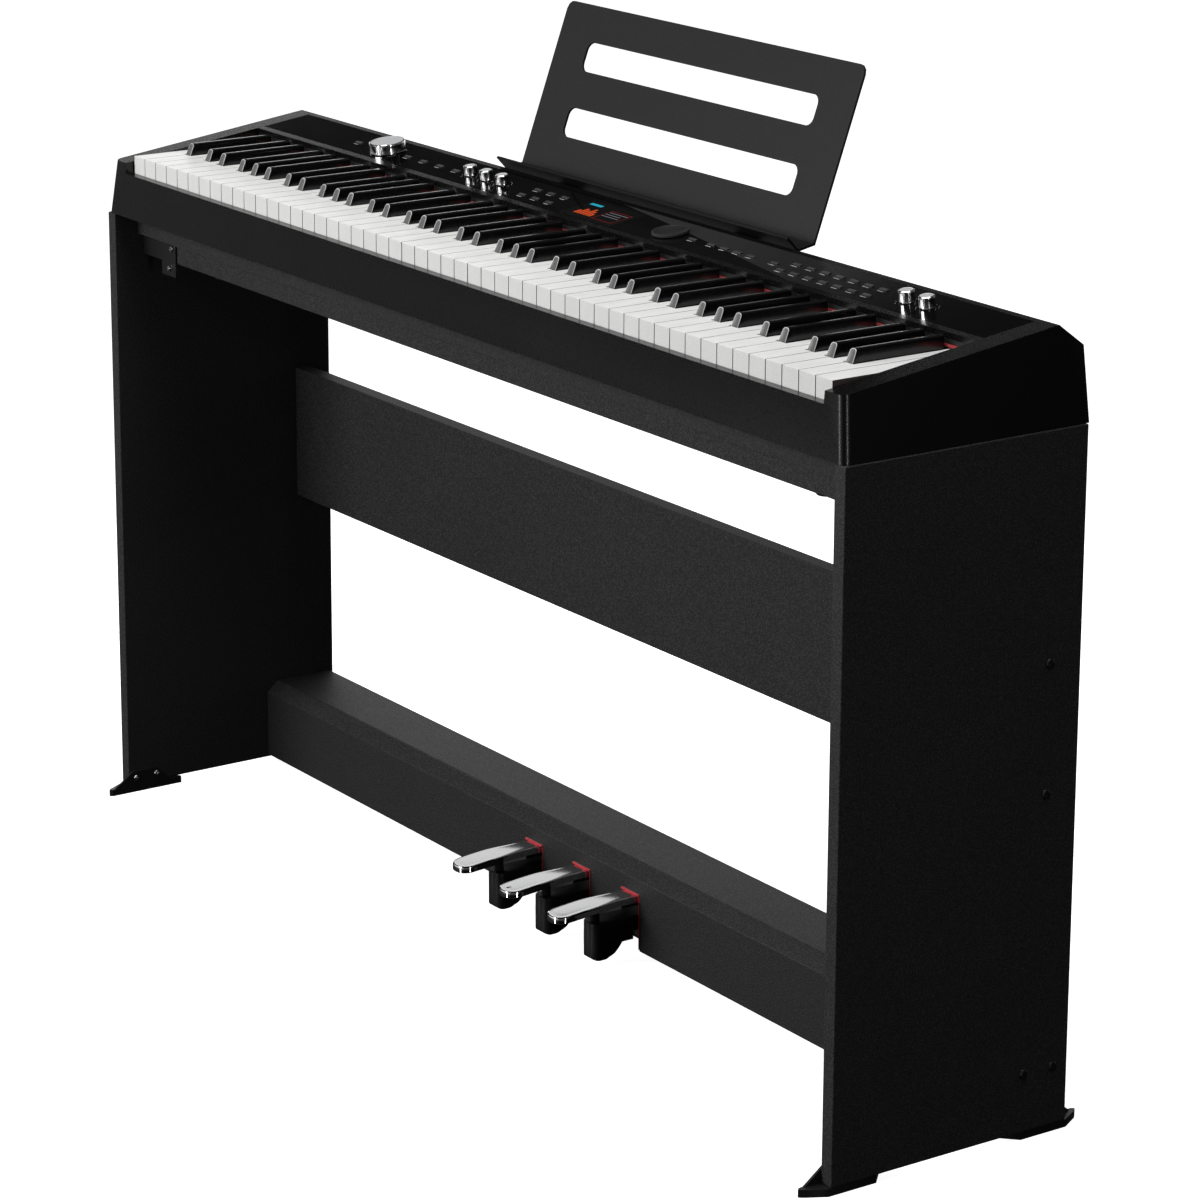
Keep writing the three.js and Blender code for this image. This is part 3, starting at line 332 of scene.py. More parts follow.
def metal(name, tint, rough, scale, stretch=(1, 1, 1), metallic=1.0):
    """A bright metal with fine scratches, of that scale per metre before the stretch."""
    finish = Finish(name, Metallic=metallic)
    scratch = finish.noise(scale, 3, stretch)
    finish.wear(Base_Color=finish.mix(scratch, tuple(0.88 * c for c in tint) + (1,), tint + (1,)),
                Roughness=rough * 0.8 + rough * 0.4 * scratch)
    finish.bump(scratch, 0.00001)
    return finish


CHROME = metal("polished_chrome", (0.78, 0.78, 0.79), 0.07, 160)
SATIN = metal("satin_nickel", (0.68, 0.68, 0.69), 0.17, 1400)
KNOB_TOP = metal("knob_top_satin", (0.52, 0.52, 0.53), 0.5, 1, (3000, 60, 3000), 0.2)
ZINC = metal("zinc_screw", (0.55, 0.55, 0.56), 0.3, 900)

FELT = Finish("red_felt", Specular_IOR_Level=0.15, Sheen_Weight=0.5, Sheen_Roughness=0.5)
fibre = FELT.noise(2400, 4)
FELT.wear(Base_Color=FELT.mix(fibre, (0.42, 0.004, 0.012, 1), (0.75, 0.012, 0.028, 1)),
          Roughness=0.85 + 0.1 * fibre)
FELT.bump(fibre, 0.0003)

BOARD = Finish("solder_mask", Specular_IOR_Level=0.4)
track = BOARD.noise(260, 1, (1, 4, 1)).ramp(0.49, 0.51)
BOARD.wear(Base_Color=BOARD.mix(track, (0.008, 0.07, 0.02, 1), (0.02, 0.13, 0.04, 1)),
           Roughness=0.35 + 0.1 * track)
BOARD.bump(track, 0.00003)
CONE = speckled("paper_cone", 0.012, 0.03, 420, 0.9, 0.0002)

MARK = Finish("printed_mark", Specular_IOR_Level=0.3)
print_dots = MARK.noise(5200, 2)
MARK.wear(Base_Color=MARK.mix(print_dots, 0.30, 0.62), Roughness=0.5 + 0.2 * print_dots)
print("finishes", len(bpy.data.materials))

# %% [markdown]
# ## Making pieces
# Every piece ends the same way: a mesh gets its finishes, smooth shading up to an angle, and rides on its
# CAD body. `softened` takes a CAD shape that is right but sharp, and rounds its edges with a Bevel, because
# the eye reads a real edge by the thin highlight on it. `skin` lays faces between closed rings of points,
# and `turned` does the same for anything that a lathe could make.

# %% Piece helpers
def piece(name, mesh, finishes, body, stands_for=(), edge=0.0, steps=3, sharp=35.0):
    """Shows a mesh as a named piece on a CAD body, with its edges rounded by edge metres."""
    made = bpy.data.objects.new(name, mesh)
    bpy.context.scene.collection.objects.link(made)
    for finish in finishes:
        mesh.materials.append(finish.material)
    mesh.shade_smooth()
    if edge:
        bevel = made.modifiers.new("rounded_edges", "BEVEL")
        bevel.width = edge
        bevel.segments = steps
        bevel.limit_method = "ANGLE"
        bevel.angle_limit = math.radians(30)
        bevel.harden_normals = True
    else:
        mesh.set_sharp_from_angle(angle=math.radians(sharp))
    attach(made, body)
    if stands_for:
        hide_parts(*stands_for)
    return made


def mesh_of(name, points, faces, face_finish=None):
    """A mesh with its faces turned outwards. face_finish gives a finish number for each face."""
    mesh = bpy.data.meshes.new(name)
    mesh.from_pydata([tuple(p) for p in points], [], faces)
    if face_finish:
        mesh.polygons.foreach_set("material_index", face_finish)
    work = bmesh.new()
    work.from_mesh(mesh)
    bmesh.ops.recalc_face_normals(work, faces=work.faces)
    work.to_mesh(mesh)
    work.free()
    return mesh


def softened(node, edge, finish, steps=3):
    """A CAD node's own shape, with its faces made whole again and its edges rounded."""
    source = frame["nodes"][node]
    work = bmesh.new()
    work.from_mesh(source.data)
    bmesh.ops.remove_doubles(work, verts=work.verts, dist=0.000002)
    bmesh.ops.dissolve_limit(work, angle_limit=math.radians(0.4), verts=work.verts, edges=work.edges)
    work.verts.index_update()
    mesh = mesh_of(node, [v.co for v in work.verts], [[v.index for v in face.verts] for face in work.faces])
    work.free()
    return piece(node + "_finished", mesh, [finish], source["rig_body"], [node], edge, steps)


def skin(rings, close_start=True, close_end=True):
    """Points and faces of a tube through closed rings that all have the same number of points."""
    count = len(rings[0])
    points = [point for ring in rings for point in ring]
    faces = []
    for r in range(len(rings) - 1):
        for i in range(count):
            j = (i + 1) % count
            faces.append((r * count + i, r * count + j, (r + 1) * count + j, (r + 1) * count + i))
    if close_start:
        faces.append(tuple(range(count)))
    if close_end:
        faces.append(tuple(range((len(rings) - 1) * count, len(rings) * count)))
    return points, faces


def gathered(shapes):
    """Several (points, faces) joined into one, still as separate islands."""
    points, faces = [], []
    for some_points, some_faces in shapes:
        start = len(points)
        points += some_points
        faces += [tuple(start + i for i in face) for face in some_faces]
    return points, faces


def turned(profile, sides, shape=None):
    """A lathe shape round +Z from (radius, height) pairs. shape(angle, radius, height) varies the radius."""
    rings = []
    for radius, height in profile:
        ring = []
        for i in range(sides):
            angle = 2 * math.pi * i / sides
            reach = shape(angle, radius, height) if shape else radius
            ring.append(Vector((reach * math.cos(angle), reach * math.sin(angle), height)))
        rings.append(ring)
    return skin(rings)


def moved(shape, place, up=(0, 0, 1)):
    """The shape set down at a place, with its +Z turned to up."""
    turn = Vector((0, 0, 1)).rotation_difference(Vector(up))
    points, faces = shape
    return [turn @ Vector(p) + Vector(place) for p in points], faces


def slab(low, high):
    """A box of points and faces between two corners."""
    (x0, y0, z0), (x1, y1, z1) = low, high
    lower = [Vector(p) for p in ((x0, y0, z0), (x1, y0, z0), (x1, y1, z0), (x0, y1, z0))]
    return skin([lower, [Vector((p.x, p.y, z1)) for p in lower]])


print("piece helpers ready")

# %% [markdown]
# ## Floor
# A plain pale sweep. Its own light would flood the black panels from below, so reflections and bounced
# light don't see it.

# %% Floor
FLOOR_REACH = 18
FLOOR = Finish("floor_white", Specular_IOR_Level=0.2, Emission_Color=(1, 1, 1, 1), Emission_Strength=0.94)
paper = FLOOR.noise(40, 3)
FLOOR.wear(Base_Color=FLOOR.mix(paper, 0.80, 0.84), Roughness=0.8 + 0.1 * paper)
floor_mesh = bpy.data.meshes.new("floor")
corners = [(x * FLOOR_REACH, y * FLOOR_REACH, 0) for x, y in ((-1, -1), (1, -1), (1, 1), (-1, 1))]
floor_mesh.from_pydata(corners, [], [(0, 1, 2, 3)])
floor_mesh.materials.append(FLOOR.material)
floor = bpy.data.objects.new("floor", floor_mesh)
bpy.context.scene.collection.objects.link(floor)
floor.visible_glossy = False
floor.visible_diffuse = False
print("floor", 2 * FLOOR_REACH, "m wide")

# %% [markdown]
# ## Stand
# Two side panels, a modesty board, the rail under the keys and the pedal board are sawn from laminated
# board. Their edges are banded and broken with a trimmer, about a millimetre round. Pressed steel feet, the
# bracket and the pedals' mounting plate have crisper edges. Their CAD shapes are right already, so only
# edges and finish are added here.

# %% Stand
BANDED_EDGE = 1.1 * MM
PRESSED_EDGE = 0.5 * MM
for board in ("side_panel_left", "side_panel_right", "modesty_board", "pedal_box_front", "pedal_box_top",
              "rail_top_board", "front_rail"):
    softened(board, BANDED_EDGE, LAMINATE)
for steel in ("foot_front_left", "foot_front_right", "foot_rear_left", "foot_rear_right", "rail_bracket",
              "pedal_mount"):
    softened(steel, PRESSED_EDGE, STEEL, 2)

# %% [markdown]
# ### Thumb screws
# A thumb screw holds the case down from below. Its head is knurled so that fingers can grip it. A lathe
# profile whose radius ripples with the angle gives the knurl without any boolean.

# %% Thumb screws
KNURLS = 20
GRIP_FROM = 7.5 * MM


def knurled(angle, radius, _):
    return radius * (1 + 0.045 * math.cos(KNURLS * angle)) if radius > GRIP_FROM else radius


for word, _ in SIDES:
    low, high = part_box("thumb_screw_" + word)
    middle = ((low.x + high.x) / 2, (low.y + high.y) / 2, low.z)
    reach = (high.x - low.x) / 2 * 0.955
    top = high.z - low.z
    profile = [(reach - 1.2 * MM, 0), (reach - 0.3 * MM, 0.4 * MM), (reach, 1.2 * MM), (reach, 7.6 * MM),
               (reach - 0.6 * MM, 8.6 * MM), (6.6 * MM, 9.2 * MM), (6.4 * MM, 36 * MM), (3.0 * MM, 36.6 * MM),
               (2.9 * MM, top - 1 * MM), (2.2 * MM, top)]
    screw = moved(turned(profile, KNURLS * 6, knurled), middle)
    piece("thumb_screw_%s_knurled" % word, mesh_of("thumb_screw", *screw), [STEEL], "piano",
          ["thumb_screw_" + word], sharp=50)
print("thumb screws done")

# %% [markdown]
# ### Screws
# Black cross-head screws show on the panels' outer faces, bright ones on the bracket, the feet and under
# the case. The recess could be cut with a boolean. Here one screw is a lathe shape whose recess follows a
# four-pointed outline, so its faces stay clean, and copies of it are set down on the faces.

# %% Screws
PEDAL_SCREW_Z = 64 * MM
CASE_SCREWS = 6
CASE_SCREW_MARGIN = 60 * MM


def cross_screw(radius, height):
    def recess(angle, reach, _):
        arm = abs(math.cos(2 * angle)) ** 6
        return reach * (0.45 + 0.55 * arm) if reach < 0.66 * radius else reach

    profile = [(radius * 0.94, -0.2 * MM), (radius, height * 0.25), (radius * 0.93, height * 0.7),
               (radius * 0.72, height), (radius * 0.64, height * 0.97), (radius * 0.56, height * 0.35),
               (radius * 0.12, height * 0.15)]
    return turned(profile, 32, recess)


def screws(name, spots, radius, height, finish):
    """One piece that holds a screw at each (place, direction)."""
    shape = gathered([moved(cross_screw(radius, height), place, up) for place, up in spots])
    return piece(name, mesh_of(name, *shape), [finish], "piano", sharp=40)


modesty_low, modesty_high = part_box("modesty_board")
pedal_low, pedal_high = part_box("pedal_box_top")
modesty_middle = (modesty_low.y + modesty_high.y) / 2
for word, side in SIDES:
    low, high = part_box("side_panel_" + word)
    face = high.x if side > 0 else low.x
    spots = [((face, modesty_middle, modesty_high.z - 12 * MM), (side, 0, 0)),
             ((face, modesty_middle, modesty_low.z + 15 * MM), (side, 0, 0)),
             ((face, pedal_low.y + 21 * MM, PEDAL_SCREW_Z), (side, 0, 0)),
             ((face, pedal_high.y - 13 * MM, PEDAL_SCREW_Z), (side, 0, 0))]
    screws("panel_screws_" + word, spots, 5 * MM, 1.6 * MM, STEEL)
    for end, ahead in (("front", -1), ("rear", 1)):
        low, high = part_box("foot_%s_%s" % (end, word))
        tip = low.y if ahead < 0 else high.y
        inner = low.x if side > 0 else high.x
        spots = [((inner, tip - ahead * 33 * MM, 16.5 * MM), (-side, 0, 0)),
                 ((inner, tip - ahead * 59 * MM, 17.5 * MM), (-side, 0, 0))]
        screws("foot_screws_%s_%s" % (end, word), spots, 3.2 * MM, 1.8 * MM, ZINC)
low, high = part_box("rail_bracket")
spots = [((high.x - 7 * MM, low.y, high.z - 6 * MM), (0, -1, 0)),
         ((high.x - 13 * MM, low.y, low.z + 9 * MM), (0, -1, 0))]
screws("bracket_screws", spots, 3.4 * MM, 2 * MM, ZINC)
bottom_low, bottom_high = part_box("bottom_case")
pitch = (bottom_high.x - bottom_low.x - 2 * CASE_SCREW_MARGIN) / (CASE_SCREWS - 1)
spots = [((bottom_low.x + CASE_SCREW_MARGIN + i * pitch, y, bottom_low.z), (0, 0, -1))
         for i in range(CASE_SCREWS) for y in (bottom_low.y + 125 * MM, bottom_high.y - 16 * MM)]
screws("case_screws", spots, 3.2 * MM, 1.6 * MM, ZINC)
print("screws done")

# %% [markdown]
# ## Pedals
# A pedal is a chromed blade. Its rounded nose is ground in flats, a narrow bevel runs round the top, and
# the top itself is satin. It is built as rings that follow the plan outline: each ring lies a little
# further in and higher than the last, so the bevel keeps its width all the way round the nose. These
# functions give the outline, the crown of the top, and one such ring.

# %% Pedal rings
PEDAL_HALF = 15 * MM
PEDAL_NOSE = 13 * MM
NECK_HALF = 12 * MM
BLADE_END = 41 * MM
NECK_START = 82 * MM
PEDAL_LEVEL = 68 * MM
NOSE_FLATS = 5
SIDE_STEPS = 18


def pedal_half_width(back):
    """Half of the blade's width at a distance behind its tip."""
    if back < PEDAL_NOSE:
        return PEDAL_HALF * math.sqrt(max(0.0, 1 - (1 - back / PEDAL_NOSE) ** 2))
    share = min(1.0, max(0.0, (back - BLADE_END) / (NECK_START - BLADE_END)))
    return PEDAL_HALF + (NECK_HALF - PEDAL_HALF) * share * share * (3 - 2 * share)


def pedal_top(back):
    """Height of the blade's top over its level, a shallow crown from tip to neck."""
    return (-3.5 + 4.5 * math.sin(min(1.0, back / (70 * MM)) * math.pi / 2)) * MM


def pedal_outline(length, flats):
    """Right half of the plan from the tip back, as (half width, back)."""
    nose = [(1 - math.cos(i / flats * math.pi / 2)) * PEDAL_NOSE for i in range(flats + 1)]
    side = [PEDAL_NOSE + (length - PEDAL_NOSE) * i / SIDE_STEPS for i in range(1, SIDE_STEPS + 1)]
    return [(pedal_half_width(back), back) for back in nose + side]


def pedal_ring(half, inset, rise, tip, x, level):
    """The whole outline moved inwards by inset, at rise over the blade's top line."""
    ring = []
    for i, (wide, back) in enumerate(half):
        before, after = half[max(i - 1, 0)], half[min(i + 1, len(half) - 1)]
        along = Vector((after[0] - before[0], after[1] - before[1]))
        inwards = Vector((-along.y, along.x)).normalized() if i else Vector((0, 1))
        wide, back = max(wide + inset * inwards.x, 0.0), back + inset * max(inwards.y, 0.0)
        ring.append((wide, back))
    left = [(-wide, back) for wide, back in reversed(ring[1:])]
    return [Vector((x + wide, tip + back, level + pedal_top(back) + rise)) for wide, back in left + ring]


print("outline points", len(pedal_outline(100 * MM, NOSE_FLATS)))

# %% [markdown]
# ### Blades and arms
# Each ring below has its distance inwards and its height over the top line. The first three make the
# blade's side, the next two the bevel, and the last ones the satin pad, which lies a hair lower than its
# rim. Behind the pedal board the blade goes over into a steel arm, with a boss that turns on a pin.

# %% Pedals
BLADE_RINGS = ((1.2, -7.5), (0, -6.7), (0, -1.6), (0.5, -0.5), (1.5, 0), (2.1, -0.15), (6, 0.1), (11, 0.2))
PAD_FROM = 5


def rod(radius, reach, corner, inset, sides):
    """A round bar that reaches to both sides of its middle, with a small bevel at its ends."""
    return turned([(radius - corner, -reach), (radius, inset - reach), (radius, reach - inset),
                   (radius - corner, reach)], sides)


box_low, box_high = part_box("pedal_box_front")
for word in PEDALS:
    low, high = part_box("pedal_" + word)
    body = frame["nodes"]["pedal_" + word]["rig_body"]
    x = (low.x + high.x) / 2
    length = box_high.y + 4 * MM - low.y
    half = pedal_outline(length, NOSE_FLATS)
    rings = [pedal_ring(half, inset * MM, rise * MM, low.y, x, PEDAL_LEVEL) for inset, rise in BLADE_RINGS]
    points, faces = skin(rings, True, False)
    count = len(rings[0])
    face_finish = [1 if face[0] >= PAD_FROM * count and len(face) == 4 else 0 for face in faces]
    top = (len(rings) - 1) * count
    for i in range(count // 2):
        faces.append((top + i, top + i + 1, top + count - 2 - i, top + count - 1 - i))
        face_finish.append(1)
    piece("pedal_%s_blade" % word, mesh_of("pedal", points, faces, face_finish), [CHROME, SATIN], body,
          ["pedal_" + word], sharp=24)
    pin = joints["pedal_%s_press" % word]["pos_m"]
    arm_half = NECK_HALF - 1 * MM
    arm = [slab((x - arm_half, low.y + length - 6 * MM, PEDAL_LEVEL - 7 * MM),
                (x + arm_half, pin[1], PEDAL_LEVEL - 1 * MM)),
           moved(rod(7 * MM, 11.9 * MM, 0.7 * MM, 0.7 * MM, 36), (x, pin[1], pin[2]), (1, 0, 0)),
           moved(rod(3 * MM, PEDAL_HALF + 1.5 * MM, 0.4 * MM, 0.5 * MM, 24), (x, pin[1], pin[2]), (1, 0, 0))]
    piece("pedal_%s_arm" % word, mesh_of("arm", *gathered(arm)), [STEEL], body, sharp=30)
print("pedals", round(length / MM), "mm long")

# %% [markdown]
# ### Horns, felt and boots
# Under each pedal a moulded horn reaches out through the slot. Its nose is round and its belly sweeps up to
# the board. A box with rounded corners would miss that sweep, so the horn is skinned along its length: each
# station is a rounded section between a bottom and a top line.

# %% Horns
HORN_NOSE = 8 * MM
NOSE_STEPS, BELLY_STEPS = 8, 24


def smooth_share(value, start, end):
    share = min(1.0, max(0.0, (value - start) / (end - start)))
    return share * share * (3 - 2 * share)


def horn_section(x, y, half, bottom, top):
    """A rounded upright section, counted round from the lower right."""
    corner = min(1.6 * MM, half * 0.9)
    ring = []
    for cx, cz, start in ((1, -1, -90), (1, 1, 0), (-1, 1, 90), (-1, -1, 180)):
        for step in range(4):
            angle = math.radians(start + 30 * step)
            middle_z = (top - corner) if cz > 0 else (bottom + corner)
            ring.append(Vector((x + cx * (half - corner) + corner * math.cos(angle), y,
                                middle_z + corner * math.sin(angle))))
    return ring


for word in PEDALS:
    low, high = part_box("pedal_support_" + word)
    x = (low.x + high.x) / 2
    full = (high.x - low.x) / 2
    back_face = box_high.y + 3 * MM
    stations = [HORN_NOSE * (1 - math.cos(i / NOSE_STEPS * math.pi / 2)) for i in range(NOSE_STEPS + 1)]
    belly = back_face - low.y - HORN_NOSE
    stations += [HORN_NOSE + belly * i / BELLY_STEPS for i in range(1, BELLY_STEPS + 1)]
    rings = []
    for back in stations:
        nose = math.sqrt(max(0.0, 1 - (1 - min(1.0, back / HORN_NOSE)) ** 2))
        half = full * (0.25 + 0.75 * nose)
        bottom = low.z + 5 * MM * (1 - nose) + 3 * MM * smooth_share(back, 14 * MM, 24 * MM)
        bottom += 21 * MM * smooth_share(back, 22 * MM, 46 * MM)
        top = high.z - 2 * MM - 1.2 * MM * (1 - nose)
        rings.append(horn_section(x, low.y + back, half, bottom, top))
    for y in (back_face + 0.2 * MM, high.y):
        rings.append(horn_section(x, y, full, low.z + 8.6 * MM, high.z - 2 * MM))
    piece("pedal_%s_horn" % word, mesh_of("horn", *skin(rings)), [PLASTIC], "piano",
          ["pedal_support_" + word], sharp=50)
print("horn stations", len(rings))

# %% [markdown]
# ### Felt and boots
# Red felt lines each slot at its top and its right side, so that a pedal can't knock on the board. A ribbed
# rubber boot between horn and pedal cushions the stroke.

# %% Felt and boots
SLOT_HALF, SLOT_TOP = 15.4 * MM, 70.9 * MM
BOOT_TOP = 61.2 * MM
BOOT_RIBS = 8
for word in PEDALS:
    low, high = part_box("pedal_support_" + word)
    x = (low.x + high.x) / 2
    front = box_low.y - 0.5 * MM
    lining = [slab((x - SLOT_HALF, front - 0.8 * MM, SLOT_TOP - 1.9 * MM),
                   (x + SLOT_HALF, box_high.y - 1 * MM, SLOT_TOP)),
              slab((x + SLOT_HALF - 0.9 * MM, front, box_low.z + 1.6 * MM),
                   (x + SLOT_HALF, box_low.y + 10 * MM, SLOT_TOP - 2 * MM))]
    piece("pedal_%s_felt" % word, mesh_of("lining", *gathered(lining)), [FELT], "piano",
          edge=0.3 * MM, steps=2)
    foot = high.z - 2 * MM
    ribs = [((4.6 + (0.5 if i % 2 else -0.3)) * MM, foot + (BOOT_TOP - foot) * (i / BOOT_RIBS))
            for i in range(BOOT_RIBS + 1)]
    boot = moved(turned(ribs, 28), (x, low.y + 9 * MM, 0))
    made = piece("pedal_%s_boot" % word, mesh_of("boot", *boot), [RUBBER], "piano", sharp=60)
    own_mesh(made)
print("linings and boots", 2 * len(PEDALS))

# %% [markdown]
# ## Case
# The case is two mouldings. The upper one has cheeks, deck and a rounded front corner, and its edges are
# about a millimetre round, which gives the long bright line along the rear chamfer. The lower one carries
# everything inside. They and the inner parts keep their CAD shape and only get rounded edges and a finish.

# %% Case and the parts inside it
softened("upper_case", 0.9 * MM, CASE)
softened("bottom_case", 0.6 * MM, PLASTIC, 2)
softened("rear_jack_plate", 0.3 * MM, PLASTIC, 2)
softened("key_frame", 0.3 * MM, STEEL, 2)
softened("main_board", 0.15 * MM, BOARD, 2)
for word, _ in SIDES:
    softened("speaker_" + word, 0.3 * MM, CONE, 2)
print("case and inner parts done")

# %% [markdown]
# ### Felt strip
# A felt strip hangs over the keys' rear ends. It keeps dust out and stops the keys from knocking on the
# deck. The CAD has it as one block. Here only a narrow strip of red felt shows at its foot. A black block
# takes the rest of its place, painted shade that stands in for the shadow under the panel's overhang.

# %% Felt strip
FELT_SHOWS = 3.2 * MM
low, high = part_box("key_felt")
felt_top = low.z + FELT_SHOWS
felt = slab(low, (high.x, high.y, felt_top))
# Painted shade: this black block covers most of the felt's height and stands in for the shadow under the
# panel's overhang, so only a narrow red strip shows.
shade_block = slab((low.x, low.y + 0.3 * MM, felt_top), high)
piece("felt_strip", mesh_of("felt_strip", *felt), [FELT], "piano", ["key_felt"], 0.6 * MM, 2)
piece("felt_carrier", mesh_of("felt_carrier", *shade_block), [PLASTIC], "piano", edge=0.3 * MM,
      steps=2)
print("felt shows", round(FELT_SHOWS / MM, 1), "mm")

# %% [markdown]
# ### Jack nuts
# A hexagon nut holds each round jack in the rear plate. Seen along its axis a hexagon is a circle whose
# radius falls between the corners, so the same lathe makes it: only the wide points of the profile get that
# outline.

# %% Jack nuts
JACKS = 3
JACK_FROM, JACK_PITCH, JACK_HOLE = 26 * MM, 30 * MM, 5 * MM
JACK_DEEP = -6 * MM
FLATS_FROM = 6.4 * MM


def hexagon(angle, radius, _):
    if radius < FLATS_FROM:
        return radius
    return radius * math.cos(math.pi / 6) / math.cos((angle + math.pi / 6) % (math.pi / 3) - math.pi / 6)


bush = JACK_HOLE - 0.1 * MM
nut = [(JACK_HOLE - 0.4 * MM, JACK_DEEP), (bush, JACK_DEEP), (bush, 0.0), (8.2 * MM, 0.0),
       (8.2 * MM, 1.5 * MM), (7.6 * MM, 2.0 * MM), (5.6 * MM, 2.0 * MM), (5.6 * MM, 2.8 * MM),
       (5.2 * MM, 3.1 * MM), (3.4 * MM, 3.1 * MM), (3.2 * MM, 2.7 * MM), (3.2 * MM, JACK_DEEP)]
plate_low, plate_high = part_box("rear_jack_plate")
middle_z = (plate_low.z + plate_high.z) / 2
middles = [(plate_low.x + JACK_FROM + i * JACK_PITCH, plate_high.y, middle_z) for i in range(JACKS)]
nuts = gathered([moved(turned(nut, 48, hexagon), middle, (0, 1, 0)) for middle in middles])
piece("jack_nuts", mesh_of("jack_nuts", *nuts), [ZINC], "piano", sharp=30)
print("jack nuts", JACKS)

# %% [markdown]
# ## Panel
# The panel is one sheet of gloss black acrylic, which goes satin behind a slanting line to the right of the
# display. Two sheets would leave a seam, so the change is a mask in the finish: a point is in the satin
# part when it lies behind either of two lines. The deck's lean comes from the axis of a knob that stands on
# it.

# %% Panel
deck_joint = joints["volume_knob_turn"]
DECK_UP = Vector(deck_joint["axis"]).normalized()
DECK_BACK = Vector((1, 0, 0)).cross(DECK_UP) * -1
DECK_SPOT = Vector(deck_joint["pos_m"])


def deck_point(x, back, rise):
    """A place over the panel: x across, back from the line of the controls, and rise off its surface."""
    return Vector((x, DECK_SPOT.y, DECK_SPOT.z)) + DECK_BACK * back + DECK_UP * rise


GLOSS = Finish("panel_gloss", Coat_Roughness=0.02)
haze = GLOSS.noise(60, 3)
spot = GLOSS.place()
across, depth = GLOSS.axis("X", spot), GLOSS.axis("Y", spot)


def behind(corner_x, corner_y, slope):
    """1 where a point lies behind the line through a corner, 0 in front of it."""
    return (depth - (across - corner_x) * slope) > corner_y


BEND_X = 94.6 * MM
BEND_DEPTH = 14.4 * MM
LEFT_SLOPE, RIGHT_SLOPE = -0.1404, -0.1746
bend_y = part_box("control_panel")[1].y - BEND_DEPTH
left_part = behind(BEND_X, bend_y, LEFT_SLOPE) * (across < BEND_X)
right_part = behind(BEND_X, bend_y, RIGHT_SLOPE) * (across > BEND_X)
satin = (left_part + right_part) * (1.0 - across.ramp(0.10, 0.60))
GLOSS.wear(Base_Color=GLOSS.mix(satin, 0.0018, 0.020), Roughness=0.05 + 0.05 * haze + 0.30 * satin,
           Coat_Weight=0.3 * haze)
softened("control_panel", 0.3 * MM, GLOSS, 2)
print("deck leans", round(math.degrees(math.acos(DECK_UP.z)), 2), "degrees")

# %% [markdown]
# ### Display
# The display is a glass window that shows a few level bars, a tag and some list lines. They could be little
# slabs, but a screen is flat, so each is a rectangle in the finish that glows in its own colour. A
# rectangle is the product of four comparisons.

# %% Display
SCREEN = Finish("display_screen", Roughness=0.08, Coat_Weight=0.5, Coat_Roughness=0.02, Emission_Strength=0.9)
spot = SCREEN.place()
across, depth = SCREEN.axis("X", spot), SCREEN.axis("Y", spot)
low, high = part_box("display_lens")
middle_y = (low.y + high.y) / 2


def between(value, start, end):
    return (value > start * MM) * (value < end * MM)


def shown(x0, x1, y0, y1):
    """A rectangle on the screen, in mm from its middle."""
    return between(across, x0, x1) * between(depth - middle_y, y0, y1)


bars = 0.0
for i, level in enumerate((9, 15, 12, 18, 13, 7)):
    bars = bars + shown(-30 + 5 * i, -26.6 + 5 * i, -14, -14 + level)
tag = shown(-38, -18, 11, 15.5)
list_lines = shown(6, 36, 5, 6.2) + shown(6, 30, 0, 1.2) + shown(6, 33, -5, -3.8)
frame_line = shown(4, 38, -16, 10) * (1.0 - shown(4.6, 37.4, -15.4, 9.4))
glow = SCREEN.mix(bars, (0.0, 0.0, 0.0, 1), (0.75, 0.09, 0.015, 1))
glow = SCREEN.mix(tag, glow, (0.02, 0.45, 0.60, 1))
glow = SCREEN.mix(list_lines, glow, (0.20, 0.20, 0.22, 1))
glow = SCREEN.mix(frame_line, glow, (0.30, 0.01, 0.015, 1))
screen_grain = SCREEN.noise(900, 1)
SCREEN.wear(Emission_Color=glow, Base_Color=SCREEN.mix(screen_grain, 0.002, 0.005))
softened("display_lens", 0.12 * MM, SCREEN, 2)
print("display", round((high.x - low.x) / MM), "mm wide")

# %% [markdown]
# ### Buttons and marks
# Buttons are small keycaps with soft edges, on a web under the panel. A printed dash stands beside each,
# and dots stand round the knobs. Typing their places again would let them drift from the CAD, so they come
# from the button nodes themselves: a cap's top corners are the highest points of its node.

# %% Buttons and printed marks
KNOBS = ("effect_knob_1", "effect_knob_2", "effect_knob_3", "tone_knob_1", "tone_knob_2")
PRINT_LOW, PRINT_HIGH = -0.02 * MM, 0.06 * MM
DOTS = 11
GROUP_NAMES = ("power_button", "voice_buttons", "effect_buttons", "dial_buttons", "style_buttons")


def cap_spots(node):
    """Middle of each cap in a group, as (x, back)."""
    corners = []
    for vertex in frame["nodes"][node].data.vertices:
        offset = vertex.co - DECK_SPOT
        if offset.dot(DECK_UP) > 0.9 * MM:
            corners.append((vertex.co.x, offset.dot(DECK_BACK)))
    spots = []
    for x, back in sorted(set((round(x, 5), round(b, 5)) for x, b in corners)):
        for spot in spots:
            if abs(spot[0][0] - x) < 12 * MM and abs(spot[0][1] - back) < 5 * MM:
                spot.append((x, back))
                break
        else:
            spots.append([(x, back)])
    return [(sum(x for x, _ in s) / len(s), sum(b for _, b in s) / len(s)) for s in spots]


def printed(outline):
    """A mark on the panel, as thin as paint, inside an outline of (x, back)."""
    return skin([[deck_point(x, back, rise) for x, back in outline] for rise in (PRINT_LOW, PRINT_HIGH)])


def round_spots(x, back, radius, start, step, count):
    """Points on an arc, as (x, back), with angles in degrees."""
    angles = [math.radians(start + step * i) for i in range(count)]
    return [(x + radius * math.cos(angle), back + radius * math.sin(angle)) for angle in angles]


